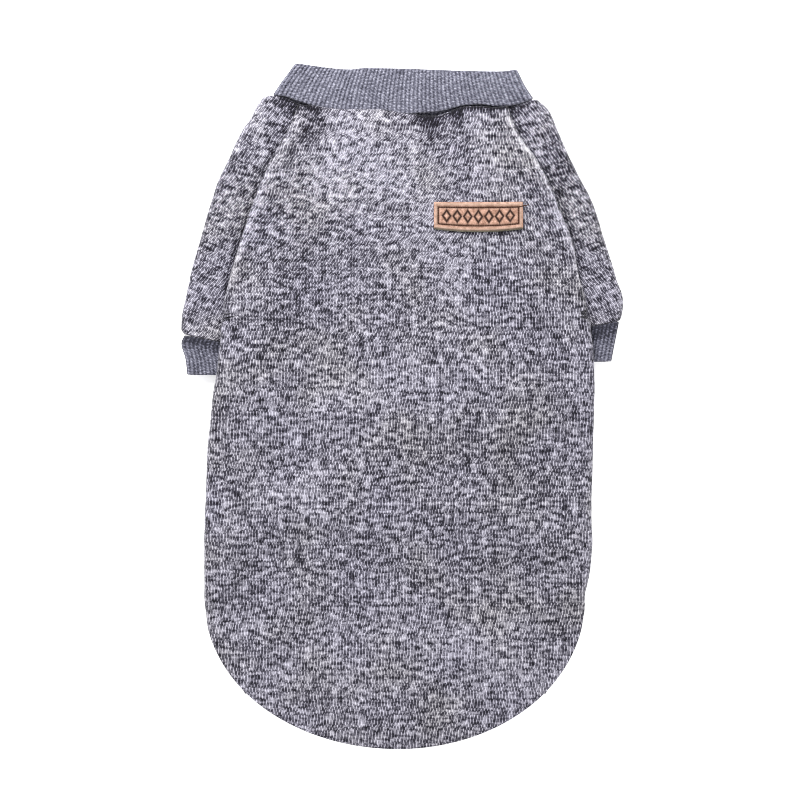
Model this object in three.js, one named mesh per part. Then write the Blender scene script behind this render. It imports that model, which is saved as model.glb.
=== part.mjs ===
// A small dog's sweater laid flat with its back uppermost: a long back panel with a round hem,
// a shorter belly panel, two raglan sleeves, a rib collar, two rib cuffs and a leather-look patch.
// Millimetres. +Z is up from the surface it lies on, +Y is towards the neck, +X is the side that
// carries the patch. The garment is a flattened tube, so every piece is a bent wall of cloth.
import * as THREE from "three";

// Cloth and sewing
const CLOTH = 2.4; // sweater fleece: a knitted face with a brushed inside
const RIB_CLOTH = 2.2; // rib knit folded double, measured in the groove between two ribs
const RIB_RISE = 0.5; // from the groove to the top of a rib
const COLLAR_RIBS = 124;
const CUFF_RIBS = 44;
const SEAM = 0.3; // between two pieces where they are sewn together

// Lengths along the garment, from the middle of its length
const UNDERARM_Y = 51;
const TAIL_Y = 47.5; // where the back panel reaches its side seam on the underside
const BELLY_HEM_Y = -64.7;
const FLAP_CORNER_Y = -163.3; // where the grid of the back panel turns from its side to its hem

// Distance between the back panel's side fold and the seam under it
const SEAM_INSET = 36;

// The round hem: half a superellipse, a little fuller on the left
const HEM = { middle: -2, startY: -107, depth: 88.4, left: 110.4, right: 106.5, power: 2.12 };

// Sleeve tube: its height where it runs under the body and at its outer fold, how far its seam
// edge lies under the back panel, where its inner seam ends up below the underarm, and how far
// round its inner fold each edge is turned there
const SLEEVE = { height: 5.6, foldHeight: 6.6, tuck: 1.5, inner: 77, close: 75 };

// Where on its length a sleeve's seam edges leave the body and turn to meet each other, and over
// how much of its length, counted as in its sections
const SLEEVE_CLOSING = { innerFrom: 0.86, innerRun: 0.16, turnFrom: 0.94, turnRun: 0.2 };

// Collar and cuffs are flattened rings
const COLLAR = { seamHeight: 6.4, middleHeight: 7.2, topHeight: 6.2 };
const CUFF = { height: 5.4, puff: 0.9, puffFrom: 0.64, puffRun: 0.26 };

// Patch
const PATCH = { x: 43.6, y: 108.2, width: 50, height: 14.9, thick: 1.3, tilt: 0, dip: 1.7 };

// A table is a list of named columns and one row of numbers for each section.
function table(names, rows) {
  return rows.map((row) => Object.fromEntries(names.map((name, i) => [name, row[i]])));
}

// A smooth curve through one column of a table, with no overshoot between its rows.
function curve(rows, along, name) {
  const points = rows.map((row) => [row[along], row[name]]).sort((a, b) => a[0] - b[0]);
  const gaps = points.slice(1).map((p, i) => p[0] - points[i][0]);
  const slopes = points.slice(1).map((p, i) => (p[1] - points[i][1]) / gaps[i]);
  const tangents = points.map((_, i) => {
    if (i === 0) return slopes[0];
    if (i === slopes.length) return slopes[i - 1];
    if (slopes[i - 1] * slopes[i] <= 0) return 0;
    const before = 2 * gaps[i] + gaps[i - 1];
    const after = gaps[i] + 2 * gaps[i - 1];
    return (before + after) / (before / slopes[i - 1] + after / slopes[i]);
  });
  return (at) => {
    if (at <= points[0][0]) return points[0][1];
    const last = points.length - 1;
    if (at >= points[last][0]) return points[last][1];
    const i = points.findIndex((p) => p[0] > at) - 1;
    const t = (at - points[i][0]) / gaps[i];
    const rise = slopes[i] * gaps[i];
    const start = tangents[i] * gaps[i];
    const end = tangents[i + 1] * gaps[i];
    return points[i][1] + t * (start + t * (3 * rise - 2 * start - end + t * (start + end - 2 * rise)));
  };
}

const mix = (a, b, t) => a + (b - a) * t;
const clamp = (value, low, high) => Math.min(high, Math.max(low, value));
const ease = (t) => clamp(t, 0, 1) ** 2 * (3 - 2 * clamp(t, 0, 1));
const radians = (degrees) => (degrees * Math.PI) / 180;
const SLOPE_STEP = 0.5;
const slopeAt = (height, x) => (height(x + SLOPE_STEP) - height(x - SLOPE_STEP)) / (2 * SLOPE_STEP);

// How far the back panel shows each side of the middle line: the raglan seam above the underarm,
// and the side fold below it
const BACK_EDGE = {
  left: table(["y", "edge"], [
    [172, 58.4], [157, 64.1], [140, 74.4], [122, 82], [100, 89.8], [78, 96.6],
    [55, 101.2], [36, 103.2], [4, 107.4], [-30, 110.9], [-70, 112], [-107, 112.4],
  ]),
  right: table(["y", "edge"], [
    [170, 60.1], [156, 65.8], [139, 77.6], [116, 88.6], [90, 98], [70, 101.7],
    [45, 107.4], [10, 109.2], [-40, 108.4], [-80, 108.2], [-97, 106.7], [-107, 104.5],
  ]),
};

// How the back panel turns at its edge, from the neck to the hem: the angle that the cloth turns
// down, the outer radius of that turn, the height of its face where the turn ends, how far it
// runs on underneath towards the side seam, and how far in the side's height carries on the top
const TURN = table(["y", "roll", "fold", "rim", "tail", "reach"], [
  [178, 24, 4.3, 7.9, 0, 20],
  [165, 30, 4.3, 7.9, 0, 24],
  [145, 36, 4.3, 7.9, 0, 28],
  [115, 45, 4.3, 7.7, 0, 34],
  [88, 62, 4.2, 7.4, 0, 42],
  [70, 90, 4, 7, 0, 50],
  [62, 125, 3.5, 6.6, 0, 54],
  [58, 165, 3.2, 6.3, 0, 56],
  [55, 180, 3.1, 6.3, 0, 57],
  [UNDERARM_Y, 180, 3.1, 6.3, 14, 58],
  [TAIL_Y, 180, 3.1, 6.3, SEAM_INSET - 3.1, 58],
  [16, 180, 3.1, 6.3, SEAM_INSET - 3.1, 58],
  [0, 180, 3.4, 4.4, SEAM_INSET - 3.4, 56],
  [-16, 180, 3.9, 1.6, SEAM_INSET - 3.9, 46],
  [-34, 180, 4.3, 0, SEAM_INSET - 4.3, 30],
  [BELLY_HEM_Y, 180, 4.3, 0, SEAM_INSET - 4.3, 22],
  [-72, 180, 4.1, 0, 20, 30],
  [-82, 180, 3.8, 0, 10, 30],
  [-94, 180, 3.3, 0, 3, 24],
  [-102, 180, 3, 0, 0, 20],
  [-110, 135, 2.9, 0, 0, 16],
  [-116, 80, 2.8, 0.4, 0, 12],
  [-122, 30, 2.8, 2.1, 0, 10],
  [-128, 0, 2.8, CLOTH, 0, 10],
]);
const turn = Object.fromEntries(
  ["roll", "fold", "rim", "tail", "reach"].map((name) => [name, curve(TURN, "y", name)]),
);

// Height of the back panel's face along the middle of the garment
const MIDDLE = curve(
  table(["y", "height"], [
    [175, 8], [160, 7.7], [140, 7.2], [100, 6.9], [40, 7.2], [0, 7.2], [-50, 7], [-64, 6.7],
    [-74, 5.2], [-86, 3.6], [-98, 2.9], [-112, 2.5], [-125, CLOTH], [-200, CLOTH],
  ]),
  "y",
  "height",
);

// Soft folds and puckers of the back: where, how long and wide, which way they run, how high
const BACK_FOLDS = table(["x", "y", "length", "width", "angle", "rise"], [
  [17, 157, 15, 8, 95, -0.7],
  [-53, 158, 16, 6, 60, -1.1],
  [-20, 159, 14, 14, 90, 0.7],
  [38, 158, 13, 12, 88, 0.7],
  [-30, 128, 34, 13, 62, 0.5],
  [24, 82, 46, 16, 118, 0.5],
  [-62, 62, 40, 12, 70, -0.6],
  [70, 58, 34, 11, 108, -0.5],
  [-10, 10, 60, 18, 12, 0.6],
  [48, -26, 52, 16, 168, -0.5],
  [-58, -48, 44, 15, 25, 0.5],
  [-30, -146, 40, 12, 20, 0.7],
  [44, -140, 36, 13, 152, 0.9],
]);

// Folds of the two sleeves on their upper face
const SLEEVE_FOLDS = table(["x", "y", "length", "width", "angle", "rise"], [
  [-81, 155, 12, 4, 83, 0.9],
  [-75, 146, 15, 4, 72, -0.6],
  [-104, 108, 26, 8, 66, 0.5],
  [-108, 66, 12, 9, 20, 0.5],
  [76, 150, 11, 3.5, 105, 0.8],
  [84, 143, 15, 5, 112, -0.5],
  [104, 96, 24, 8, 110, 0.5],
  [112, 62, 12, 8, 160, 0.5],
]);

function foldRise(folds, x, y) {
  return folds.reduce((sum, fold) => {
    const turned = radians(fold.angle);
    const along = (x - fold.x) * Math.cos(turned) + (y - fold.y) * Math.sin(turned);
    const across = (y - fold.y) * Math.cos(turned) - (x - fold.x) * Math.sin(turned);
    return sum + fold.rise * Math.exp(-((along / fold.length) ** 2) - (across / fold.width) ** 2);
  }, 0);
}

// Neckline: where the collar is sewn on, over the back and under the front
const neckBack = curve(
  table(["x", "y"], [
    [-73, 177], [-65.3, 176], [-59.9, 174], [-53.3, 171.6], [-47.8, 169.9], [-37.9, 168.5], [-27, 168.2],
    [-14, 168.2], [-7.4, 167.6], [2.7, 166.2], [12, 166.9], [20, 167.6], [28, 169.2], [36, 171.2],
    [45, 171.6], [54, 170.5], [63, 171.1], [71.5, 173.6], [74.5, 175],
  ]),
  "x",
  "y",
);
const neckFront = curve(
  table(["x", "y"], [
    [-73, 177], [-60, 169.9], [-40, 163.2], [0, 158.8], [40, 162.8], [60, 167.2], [74.5, 175],
  ]),
  "x",
  "y",
);

// Puckers along the collar's seam: where and how wide, how far the cloth sinks into the seam, and
// how far its edge draws back from the collar
const PUCKERS = table(["x", "width", "sink", "gap"], [
  [-59, 6, 1.6, 1.3],
  [19, 11, 1.1, 1.4],
  [46, 15, 0.6, 0.8],
]);
const puckered = (name, x) =>
  PUCKERS.reduce((sum, pucker) => sum + pucker[name] * Math.exp(-(((x - pucker.x) / pucker.width) ** 2)), 0);

// Edge of the body's cloth at the collar's seam, and where the raglan seams meet it
const neckEdge = (x) => neckBack(x) - 1.5 * SEAM - puckered("gap", x);
const NECK_CORNERS = { left: neckEdge(-58.4), right: neckEdge(60.1) };

// Side of the body: the sign of X, its edge above the hem, and half the hem's width
const SIDES = {
  left: { sign: -1, upperEdge: curve(BACK_EDGE.left, "y", "edge"), hemHalf: HEM.left },
  right: { sign: 1, upperEdge: curve(BACK_EDGE.right, "y", "edge"), hemHalf: HEM.right },
};

// How far the back panel reaches from the middle line at a height y
function edgeAt(side, y) {
  if (y >= HEM.startY) return side.upperEdge(y);
  const down = (HEM.startY - y) / HEM.depth;
  return side.hemHalf * Math.sqrt(1 - down ** HEM.power) + side.sign * HEM.middle;
}

// The turn at one side of the back panel: where it starts, its radius, angle, heights and tail
function sideTurn(side, y) {
  const roll = radians(turn.roll(y));
  const fold = turn.fold(y);
  const start = edgeAt(side, y) - fold * Math.sin(Math.min(roll, Math.PI / 2));
  const height = turn.rim(y) + fold * (1 - Math.cos(roll));
  return { roll, fold, start, height, tail: turn.tail(y), reach: turn.reach(y) };
}

// Face of the back panel at x and y, between its two turns
const NECK_DIP = 1.1; // how far the cloth dips into the collar seam, over how short a run
const NECK_RUN = 3.6;
const PUCKER_RUN = 5;
const HELD = 0.45; // this much of a side's reach keeps the side's height
function backHeight(x, y, left, right) {
  const middle = MIDDLE(y);
  const share = (distance, reach) => 1 - ease((distance / reach - HELD) / (1 - HELD));
  const atLeft = share(x + left.start, left.reach);
  const atRight = share(right.start - x, right.reach);
  const toNeck = Math.max(0, neckBack(x) - y);
  const dip = NECK_DIP * Math.exp(-((toNeck / NECK_RUN) ** 2));
  const sink = puckered("sink", x) * Math.exp(-((toNeck / PUCKER_RUN) ** 2));
  const held = (1 - atLeft) * (1 - atRight);
  const height = middle + (left.height - middle) * atLeft + (right.height - middle) * atRight;
  return Math.max(CLOTH, height + held * (foldRise(BACK_FOLDS, x, y) - dip - sink));
}

// A point on the back panel's face and the way it looks, in a section at height y. Past the start
// of a side's turn the distance is measured round the turn and then back along the underside.
function backPoint(across, y) {
  const left = sideTurn(SIDES.left, y);
  const right = sideTurn(SIDES.right, y);
  const side = across < 0 ? SIDES.left : SIDES.right;
  const bend = across < 0 ? left : right;
  const past = Math.abs(across) - bend.start;
  if (past <= 0) {
    const height = (x) => backHeight(x, y, left, right);
    const slope = slopeAt(height, across);
    const length = Math.hypot(slope, 1);
    return { x: across, y, z: height(across), nx: -slope / length, nz: 1 / length };
  }
  const top = backHeight(side.sign * bend.start, y, left, right);
  const angle = Math.min(past / bend.fold, bend.roll);
  const under = Math.max(0, past - bend.fold * bend.roll);
  const out = bend.start + bend.fold * Math.sin(angle) - under * Math.abs(Math.cos(angle));
  return {
    x: side.sign * out,
    y,
    z: top - bend.fold * (1 - Math.cos(angle)),
    nx: side.sign * Math.sin(angle),
    nz: Math.cos(angle),
  };
}

// A wall of cloth from a grid of points. Its face stands proud of them where a rib lifts it, and
// its other face lies one thickness behind them. Neither goes below the surface that the garment
// lies on. A ring closes on itself.
function wall(rows, thick, isRing = false) {
  const across = rows[0].length;
  const positions = [];
  const place = (p, out) => positions.push(p.x + p.nx * out, p.y, Math.max(0, p.z + p.nz * out));
  for (const row of rows) for (const p of row) place(p, p.lift ?? 0);
  for (const row of rows) for (const p of row) place(p, -thick);
  const behind = rows.length * across;
  const index = [];
  const quad = (a, b, c, d) => index.push(a, b, c, a, c, d);
  const lastColumn = isRing ? across : across - 1;
  for (let i = 0; i < rows.length - 1; i++) {
    for (let j = 0; j < lastColumn; j++) {
      const a = i * across + j;
      const b = i * across + ((j + 1) % across);
      quad(a, a + across, b + across, b);
      quad(behind + a, behind + b, behind + b + across, behind + a + across);
    }
  }
  const rim = (a, b) => quad(a, b, behind + b, behind + a);
  const lastRow = (rows.length - 1) * across;
  for (let j = 0; j < lastColumn; j++) {
    const next = (j + 1) % across;
    rim(j, next);
    rim(lastRow + next, lastRow + j);
  }
  if (!isRing) {
    for (let i = 0; i < rows.length - 1; i++) {
      rim((i + 1) * across, i * across);
      rim((i + 1) * across - 1, (i + 2) * across - 1);
    }
  }
  const geometry = new THREE.BufferGeometry();
  geometry.setAttribute("position", new THREE.Float32BufferAttribute(positions, 3));
  geometry.setIndex(index);
  geometry.computeVertexNormals();
  return geometry;
}

// Places from 0 to 1 along stretches of given lengths, closer together where the weight is higher
function spread(stretches, count) {
  const total = stretches.reduce((sum, s) => sum + s.length * s.weight, 0);
  return Array.from({ length: count + 1 }, (_, i) => {
    let left = (total * i) / count;
    let at = 0;
    for (const s of stretches) {
      const share = s.length * s.weight;
      if (left <= share) return at + (s.weight ? left / s.weight : 0);
      left -= share;
      at += s.length;
    }
    return at;
  });
}

// Rows of the back panel: the first follow the neckline less and less, the last the hem
const NECK_SHARES = [1, 0.93, 0.84, 0.62, 0.38, 0.16];
const NECK_ROWS_END_Y = 134;
const RAGLAN_ROWS = [NECK_ROWS_END_Y, 118, 102, 87, 75, 67, 62, 58, 55, UNDERARM_Y, TAIL_Y];
const BODY_ROWS = [38, 28, 17, 5, -8, -22, -36, -50];
const FLAP_ROWS = [BELLY_HEM_Y, -71, -79, -88, -97, -104, -111, -118, -126, -138, -151];

// Columns across a side: its tail under the body, its turn and the first of the top
const TURN_COLUMNS = 10;
const TURN_WEIGHTS = { tail: 0.11, turn: 0.6, top: 0.25 };
const TOP_INSIDE = 10;
const TOP_COLUMNS = 12;

// Places across one side of the back panel, from its seam inwards
function turnPlaces(bend) {
  return spread(
    [
      { length: bend.tail, weight: TURN_WEIGHTS.tail },
      { length: bend.fold * bend.roll, weight: TURN_WEIGHTS.turn },
      { length: TOP_INSIDE, weight: TURN_WEIGHTS.top },
    ],
    TURN_COLUMNS,
  ).map((s) => bend.start + bend.fold * bend.roll + bend.tail - s);
}

// Places across the whole back panel, in a section from one height at its left edge to another
// at its right edge
function backPlaces(leftY, rightY) {
  const left = turnPlaces(sideTurn(SIDES.left, leftY)).map((p) => -p);
  const right = turnPlaces(sideTurn(SIDES.right, rightY)).reverse();
  left[0] += SEAM / 2;
  right[right.length - 1] -= SEAM / 2;
  const from = left[TURN_COLUMNS];
  const inner = Array.from({ length: TOP_COLUMNS - 1 }, (_, i) => mix(from, right[0], (i + 1) / TOP_COLUMNS));
  return [...left, ...inner, ...right];
}

function backPanelRows() {
  const rows = NECK_SHARES.map((share) => ({
    left: mix(NECK_ROWS_END_Y, NECK_CORNERS.left, share),
    right: mix(NECK_ROWS_END_Y, NECK_CORNERS.right, share),
    neck: share,
    hem: 0,
  }));
  for (const y of [...RAGLAN_ROWS, ...BODY_ROWS]) rows.push({ left: y, right: y, neck: 0, hem: 0 });
  for (const y of [...FLAP_ROWS, FLAP_CORNER_Y]) {
    const hem = ease((BELLY_HEM_Y - y) / (BELLY_HEM_Y - FLAP_CORNER_Y));
    rows.push({ left: y, right: y, neck: 0, hem });
  }
  return rows.map((row) => {
    const places = backPlaces(row.left, row.right);
    const leftMost = places[0];
    const width = places[places.length - 1] - leftMost;
    return places.map((place, column) => {
      const across = (place - leftMost) / width;
      const straight = mix(row.left, row.right, across);
      if (row.neck) {
        const y = mix(NECK_ROWS_END_Y, neckEdge(backPoint(place, straight).x), row.neck);
        return backPoint(backPlaces(y, y)[column], y);
      }
      const lastX = mix(-edgeAt(SIDES.left, FLAP_CORNER_Y), edgeAt(SIDES.right, FLAP_CORNER_Y), across);
      return backPoint(place, straight + row.hem * (hemY(lastX) - FLAP_CORNER_Y));
    });
  });
}

// The bottom of the round hem under a place x
function hemY(x) {
  const half = x < HEM.middle ? HEM.left : HEM.right;
  const share = Math.min(1, Math.abs((x - HEM.middle) / half));
  return HEM.startY - HEM.depth * (1 - share ** 2) ** (1 / HEM.power);
}

// Belly panel: half its width from the front neckline to the underarm, and then to the hem
const BELLY_NECK = { half: 45, y: 162.5 };
const BELLY_FLARE = 0.85; // below 1 the raglan edge bows outwards
const bellyUnderarm = (side) => edgeAt(side, UNDERARM_Y) - SEAM_INSET;
function bellyHalf(side, y) {
  if (y < UNDERARM_Y) return edgeAt(side, y) - SEAM_INSET;
  const up = clamp((BELLY_NECK.y - y) / (BELLY_NECK.y - UNDERARM_Y), 0, 1);
  return mix(BELLY_NECK.half, bellyUnderarm(side), up ** BELLY_FLARE);
}

// How far the belly panel is lifted beside its side seams, by the sleeve under the body
const LIFT_RUN = 26;
const LIFT_START_Y = 58;
const LIFT_LENGTH = 11;
function bellyHeight(x, y) {
  const side = x < 0 ? SIDES.left : SIDES.right;
  const atSeam = turn.rim(Math.min(y, TAIL_Y)) * ease((LIFT_START_Y - y) / LIFT_LENGTH);
  return atSeam * (1 - ease((bellyHalf(side, y) - Math.abs(x)) / LIFT_RUN));
}

const BELLY_NECK_SHARES = [1, 0.7, 0.35];
const BELLY_ROWS = [130, 108, 84, 68, 58, 54, 50.5, 46, 36, 22, 8, -6, -18, -32, BELLY_HEM_Y];
const BELLY_COLUMNS = 16;

function bellyPanelRows() {
  const rows = [
    ...BELLY_NECK_SHARES.map((neck) => ({ edgeY: mix(BELLY_ROWS[0], BELLY_NECK.y, neck), neck })),
    ...BELLY_ROWS.map((edgeY) => ({ edgeY, neck: 0 })),
  ];
  return rows.map((row) => {
    const left = 1.5 * SEAM - bellyHalf(SIDES.left, row.edgeY);
    const right = bellyHalf(SIDES.right, row.edgeY) - 1.5 * SEAM;
    return Array.from({ length: BELLY_COLUMNS + 1 }, (_, i) => {
      const across = (i / BELLY_COLUMNS) * 2 - 1;
      const eased = mix(across, Math.sin((across * Math.PI) / 2), 0.5);
      const x = mix(right, left, (eased + 1) / 2);
      const y = row.neck ? mix(BELLY_ROWS[0], neckFront(x) - SEAM, row.neck) : row.edgeY;
      const slope = slopeAt((place) => bellyHeight(place, y), x);
      const length = Math.hypot(slope, 1);
      return { x, y, z: bellyHeight(x, y), nx: slope / length, nz: -1 / length };
    });
  });
}

// Outer fold of each sleeve, seen from above, and where its ends and its underarm come
const SLEEVES = {
  left: {
    side: SIDES.left,
    outer: table(["y", "x"], [
      [177.9, 76], [174, 80.4], [170.1, 82.8], [163.3, 86], [157.6, 90], [142.2, 97.6], [129.1, 104],
      [106.3, 111.4], [83.5, 117.7], [60.7, 122.9], [49.3, 125.1], [43.6, 125.7], [40.6, 123.6],
    ]),
    neck: { top: NECK_CORNERS.left, outer: 176.6, front: BELLY_NECK.y },
    underarm: { top: UNDERARM_Y, outer: 57, front: UNDERARM_Y },
  },
  right: {
    side: SIDES.right,
    outer: table(["y", "x"], [
      [176, 75.3], [167.9, 84.2], [158.7, 87.9], [151.9, 90.9], [140.5, 96], [129.1, 101.8],
      [117.7, 107.4], [94.9, 115.2], [83.5, 119], [72.1, 122.5], [60.7, 125.5], [51, 124.8], [48.6, 123.9],
    ]),
    neck: { top: NECK_CORNERS.right, outer: 174.7, front: BELLY_NECK.y },
    underarm: { top: UNDERARM_Y, outer: 60, front: UNDERARM_Y },
  },
};

// Cuff rings, from the sleeve's seam to the open end: distance of each fold from the middle line,
// and how far up each fold lies
const CUFFS = {
  left: table(["outer", "inner", "outerY", "innerY"], [
    [122.9, 77, 40.1, 31.5],
    [124.8, 77.6, 35.8, 28.8],
    [122.5, 76.8, 27, 23],
    [121.4, 75.8, 17.9, 17.6],
  ]),
  right: table(["outer", "inner", "outerY", "innerY"], [
    [123.2, 77.5, 48.2, 39.5],
    [121.7, 76.6, 40.5, 35],
    [120.3, 75.4, 33.5, 30.5],
    [118.8, 74.5, 25.5, 25.3],
  ]),
};

// Sections of a sleeve from the neck (0) by the underarm (1) to the cuff (2)
const SLEEVE_SECTIONS = [0, 0.06, 0.14, 0.24, 0.36, 0.5, 0.64, 0.76, 0.85, 0.91, 0.96, 1, 1.12, 1.4, 1.7, 2];
const SLEEVE_COLUMNS = 24;
const SLEEVE_WEIGHTS = { inner: 1.1, upper: 0.24, fold: 0.8, lower: 0.12 };
const SLEEVE_NECK_SHARE = 0.31; // the upper sections follow the neckline, less and less to here
const SLEEVE_RISE = { inside: 4, outside: 6 }; // the face stays level this near the body and the fold
const FOLD_FADE = 4; // its folds fade out over this distance towards both of its edges

// A point on an arc: the angle is measured from straight up, outwards
function arcPoint(x, z, radius, angle) {
  const nx = Math.sin(angle);
  const nz = Math.cos(angle);
  return { x: x + radius * nx, z: z + radius * nz, nx, nz };
}

// One section of a sleeve, in the distance from the middle line: from its upper edge beside the
// back panel, out over its outer fold, and back below to its edge beside the belly panel
function sleeveSection(side, y, outer, at) {
  const closing = ease((at - SLEEVE_CLOSING.turnFrom) / SLEEVE_CLOSING.turnRun);
  const toInner = ease((at - SLEEVE_CLOSING.innerFrom) / SLEEVE_CLOSING.innerRun);
  const inner = mix(edgeAt(side, y.top) - SLEEVE.tuck, SLEEVE.inner, toInner);
  const front = mix(bellyHalf(side, y.front) + SEAM / 2, SLEEVE.inner, closing);
  const turned = radians(SLEEVE.close) * closing;
  const small = SLEEVE.height / 2;
  const large = SLEEVE.foldHeight / 2;
  const topStart = inner + small * Math.sin(turned);
  const frontEnd = front + small * Math.sin(turned);
  const foldAt = outer - large;
  const stretches = [
    { length: small * turned, weight: SLEEVE_WEIGHTS.inner },
    { length: foldAt - topStart, weight: SLEEVE_WEIGHTS.upper },
    { length: large * Math.PI, weight: SLEEVE_WEIGHTS.fold },
    { length: foldAt - frontEnd, weight: SLEEVE_WEIGHTS.lower },
    { length: small * turned, weight: SLEEVE_WEIGHTS.inner },
  ];
  const points = spread(stretches, SLEEVE_COLUMNS).map((distance) => {
    let left = distance;
    if (left < stretches[0].length) return arcPoint(topStart, small, small, left / small - turned);
    left -= stretches[0].length;
    if (left < stretches[1].length) {
      return { x: topStart + left, z: SLEEVE.height, nx: 0, nz: 1, isUpper: true };
    }
    left -= stretches[1].length;
    if (left < stretches[2].length) return arcPoint(foldAt, large, large, left / large);
    left -= stretches[2].length;
    if (left < stretches[3].length) return { x: foldAt - left, z: 0, nx: 0, nz: -1 };
    return arcPoint(frontEnd, small, small, Math.PI + (left - stretches[3].length) / small);
  });
  return { points, inner, front, foldAt };
}

function sleeveRows(sleeve, cuff) {
  const side = sleeve.side;
  const outerX = curve(sleeve.outer, "y", "x");
  const neck = {
    inner: edgeAt(side, sleeve.neck.top) - SLEEVE.tuck,
    front: bellyHalf(side, sleeve.neck.front),
    outer: outerX(sleeve.neck.outer),
  };
  const inside = cuff[0].innerY + 1.5 * SEAM;
  const end = { top: inside, outer: cuff[0].outerY + 1.5 * SEAM, front: inside };
  return SLEEVE_SECTIONS.map((at) => {
    const from = at < 1 ? sleeve.neck : sleeve.underarm;
    const to = at < 1 ? sleeve.underarm : end;
    const share = at < 1 ? at : at - 1;
    const y = Object.fromEntries(Object.keys(end).map((name) => [name, mix(from[name], to[name], share)]));
    const outer = outerX(y.outer);
    const section = sleeveSection(side, y, outer, at);
    const toNeck = clamp(1 - at / SLEEVE_NECK_SHARE, 0, 1);
    const riseFrom = Math.min(
      Math.max(edgeAt(side, y.top), section.inner + SLEEVE_RISE.inside),
      section.foldAt - SLEEVE_RISE.outside,
    );
    const placed = section.points.map((p) => {
      const over = clamp((p.x - section.inner) / (outer - section.inner), 0, 1);
      const under = clamp((p.x - section.front) / (outer - section.front), 0, 1);
      const neckOver = neckEdge(side.sign * mix(neck.inner, neck.outer, over));
      const neckUnder = neckFront(side.sign * mix(neck.front, neck.outer, under)) - 1.5 * SEAM;
      const upperSag = toNeck * (neckOver - mix(sleeve.neck.top, sleeve.neck.outer, over));
      const lowerSag = toNeck * (neckUnder - mix(sleeve.neck.front, sleeve.neck.outer, under));
      const upperY = mix(y.top, y.outer, over) + upperSag;
      const lowerY = mix(y.front, y.outer, under) + lowerSag;
      const x = side.sign * p.x;
      let z = p.z;
      if (p.isUpper) {
        const rise = ease((p.x - riseFrom) / (section.foldAt - riseFrom));
        const free = ease((p.x - riseFrom) / FOLD_FADE) * ease((section.foldAt - p.x) / FOLD_FADE);
        z = mix(SLEEVE.height, SLEEVE.foldHeight, rise) + free * foldRise(SLEEVE_FOLDS, x, upperY);
      }
      return { x, y: mix(lowerY, upperY, ease(p.z / SLEEVE.height)), z, nx: side.sign * p.nx, nz: p.nz };
    });
    return side.sign < 0 ? placed.reverse() : placed;
  });
}

// A point at a distance round a flattened tube, from the middle of its left fold over the top
function tubePoint(share, left, right, height) {
  const radius = height / 2;
  const flat = right - left - height;
  const arc = Math.PI * radius;
  let distance = share * 2 * (flat + arc);
  if (distance < arc / 2) return arcPoint(left + radius, radius, radius, distance / radius - Math.PI / 2);
  distance -= arc / 2;
  if (distance < flat) return { x: left + radius + distance, z: height, nx: 0, nz: 1 };
  distance -= flat;
  if (distance < arc) return arcPoint(right - radius, radius, radius, distance / radius);
  distance -= arc;
  if (distance < flat) return { x: right - radius - distance, z: 0, nx: 0, nz: -1 };
  return arcPoint(left + radius, radius, radius, Math.PI + (distance - flat) / radius);
}

// Ribs stand proud of a ring on every second column
const ribLift = (column) => (column % 2 ? 0 : RIB_RISE);

// Collar ring, from its top edge (1) to the neck seam (0): the two folds at its ends
const COLLAR_ENDS = table(["up", "left", "right"], [
  [0, -72.7, 74.4], [0.42, -67.6, 69.9], [0.7, -63.8, 67.5], [0.9, -61.2, 66.1], [1, -59.4, 64.9],
]);
const collarLeft = curve(COLLAR_ENDS, "up", "left");
const collarRight = curve(COLLAR_ENDS, "up", "right");
const collarTop = curve(
  table(["x", "y"], [
    [-59.4, 194.9], [-50, 193.4], [-29.4, 191.4], [-20.8, 192.2],
    [0, 191.8], [40, 190.4], [56, 190.2], [64.9, 191.2],
  ]),
  "x",
  "y",
);
const COLLAR_FRONT_DROP = 3.5; // the front of the collar stands a little lower
const COLLAR_LEVELS = [1, 0.86, 0.4, 0];

function collarRows() {
  return COLLAR_LEVELS.map((up) => {
    const left = collarLeft(up);
    const right = collarRight(up);
    const puff = Math.sin(Math.PI * up) * (COLLAR.middleHeight - COLLAR.seamHeight);
    const height = mix(COLLAR.seamHeight, COLLAR.topHeight, up) + puff;
    return Array.from({ length: 2 * COLLAR_RIBS }, (_, i) => {
      const p = tubePoint(i / (2 * COLLAR_RIBS), left, right, height);
      const across = (p.x - left) / (right - left);
      const topX = mix(collarLeft(1), collarRight(1), across);
      const topBack = collarTop(topX);
      const topFront = topBack - COLLAR_FRONT_DROP * 4 * across * (1 - across);
      const seamX = mix(collarLeft(0), collarRight(0), across);
      const behind = ease(p.z / height);
      const seamY = mix(neckFront(seamX), neckBack(seamX), behind);
      return { ...p, y: mix(seamY, mix(topFront, topBack, behind), up), lift: ribLift(i) };
    });
  });
}

function cuffRows(cuff, sign) {
  return cuff.map((ring) => {
    const left = sign < 0 ? -ring.outer : ring.inner;
    const right = sign < 0 ? -ring.inner : ring.outer;
    return Array.from({ length: 2 * CUFF_RIBS }, (_, i) => {
      const p = tubePoint(i / (2 * CUFF_RIBS), left, right, CUFF.height);
      const across = (Math.abs(p.x) - ring.inner) / (ring.outer - ring.inner);
      const proud = CUFF.puff * ease((across - CUFF.puffFrom) / CUFF.puffRun) * (p.z / CUFF.height);
      return { ...p, z: p.z + proud, y: mix(ring.innerY, ring.outerY, across), lift: ribLift(i) };
    });
  });
}

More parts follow.
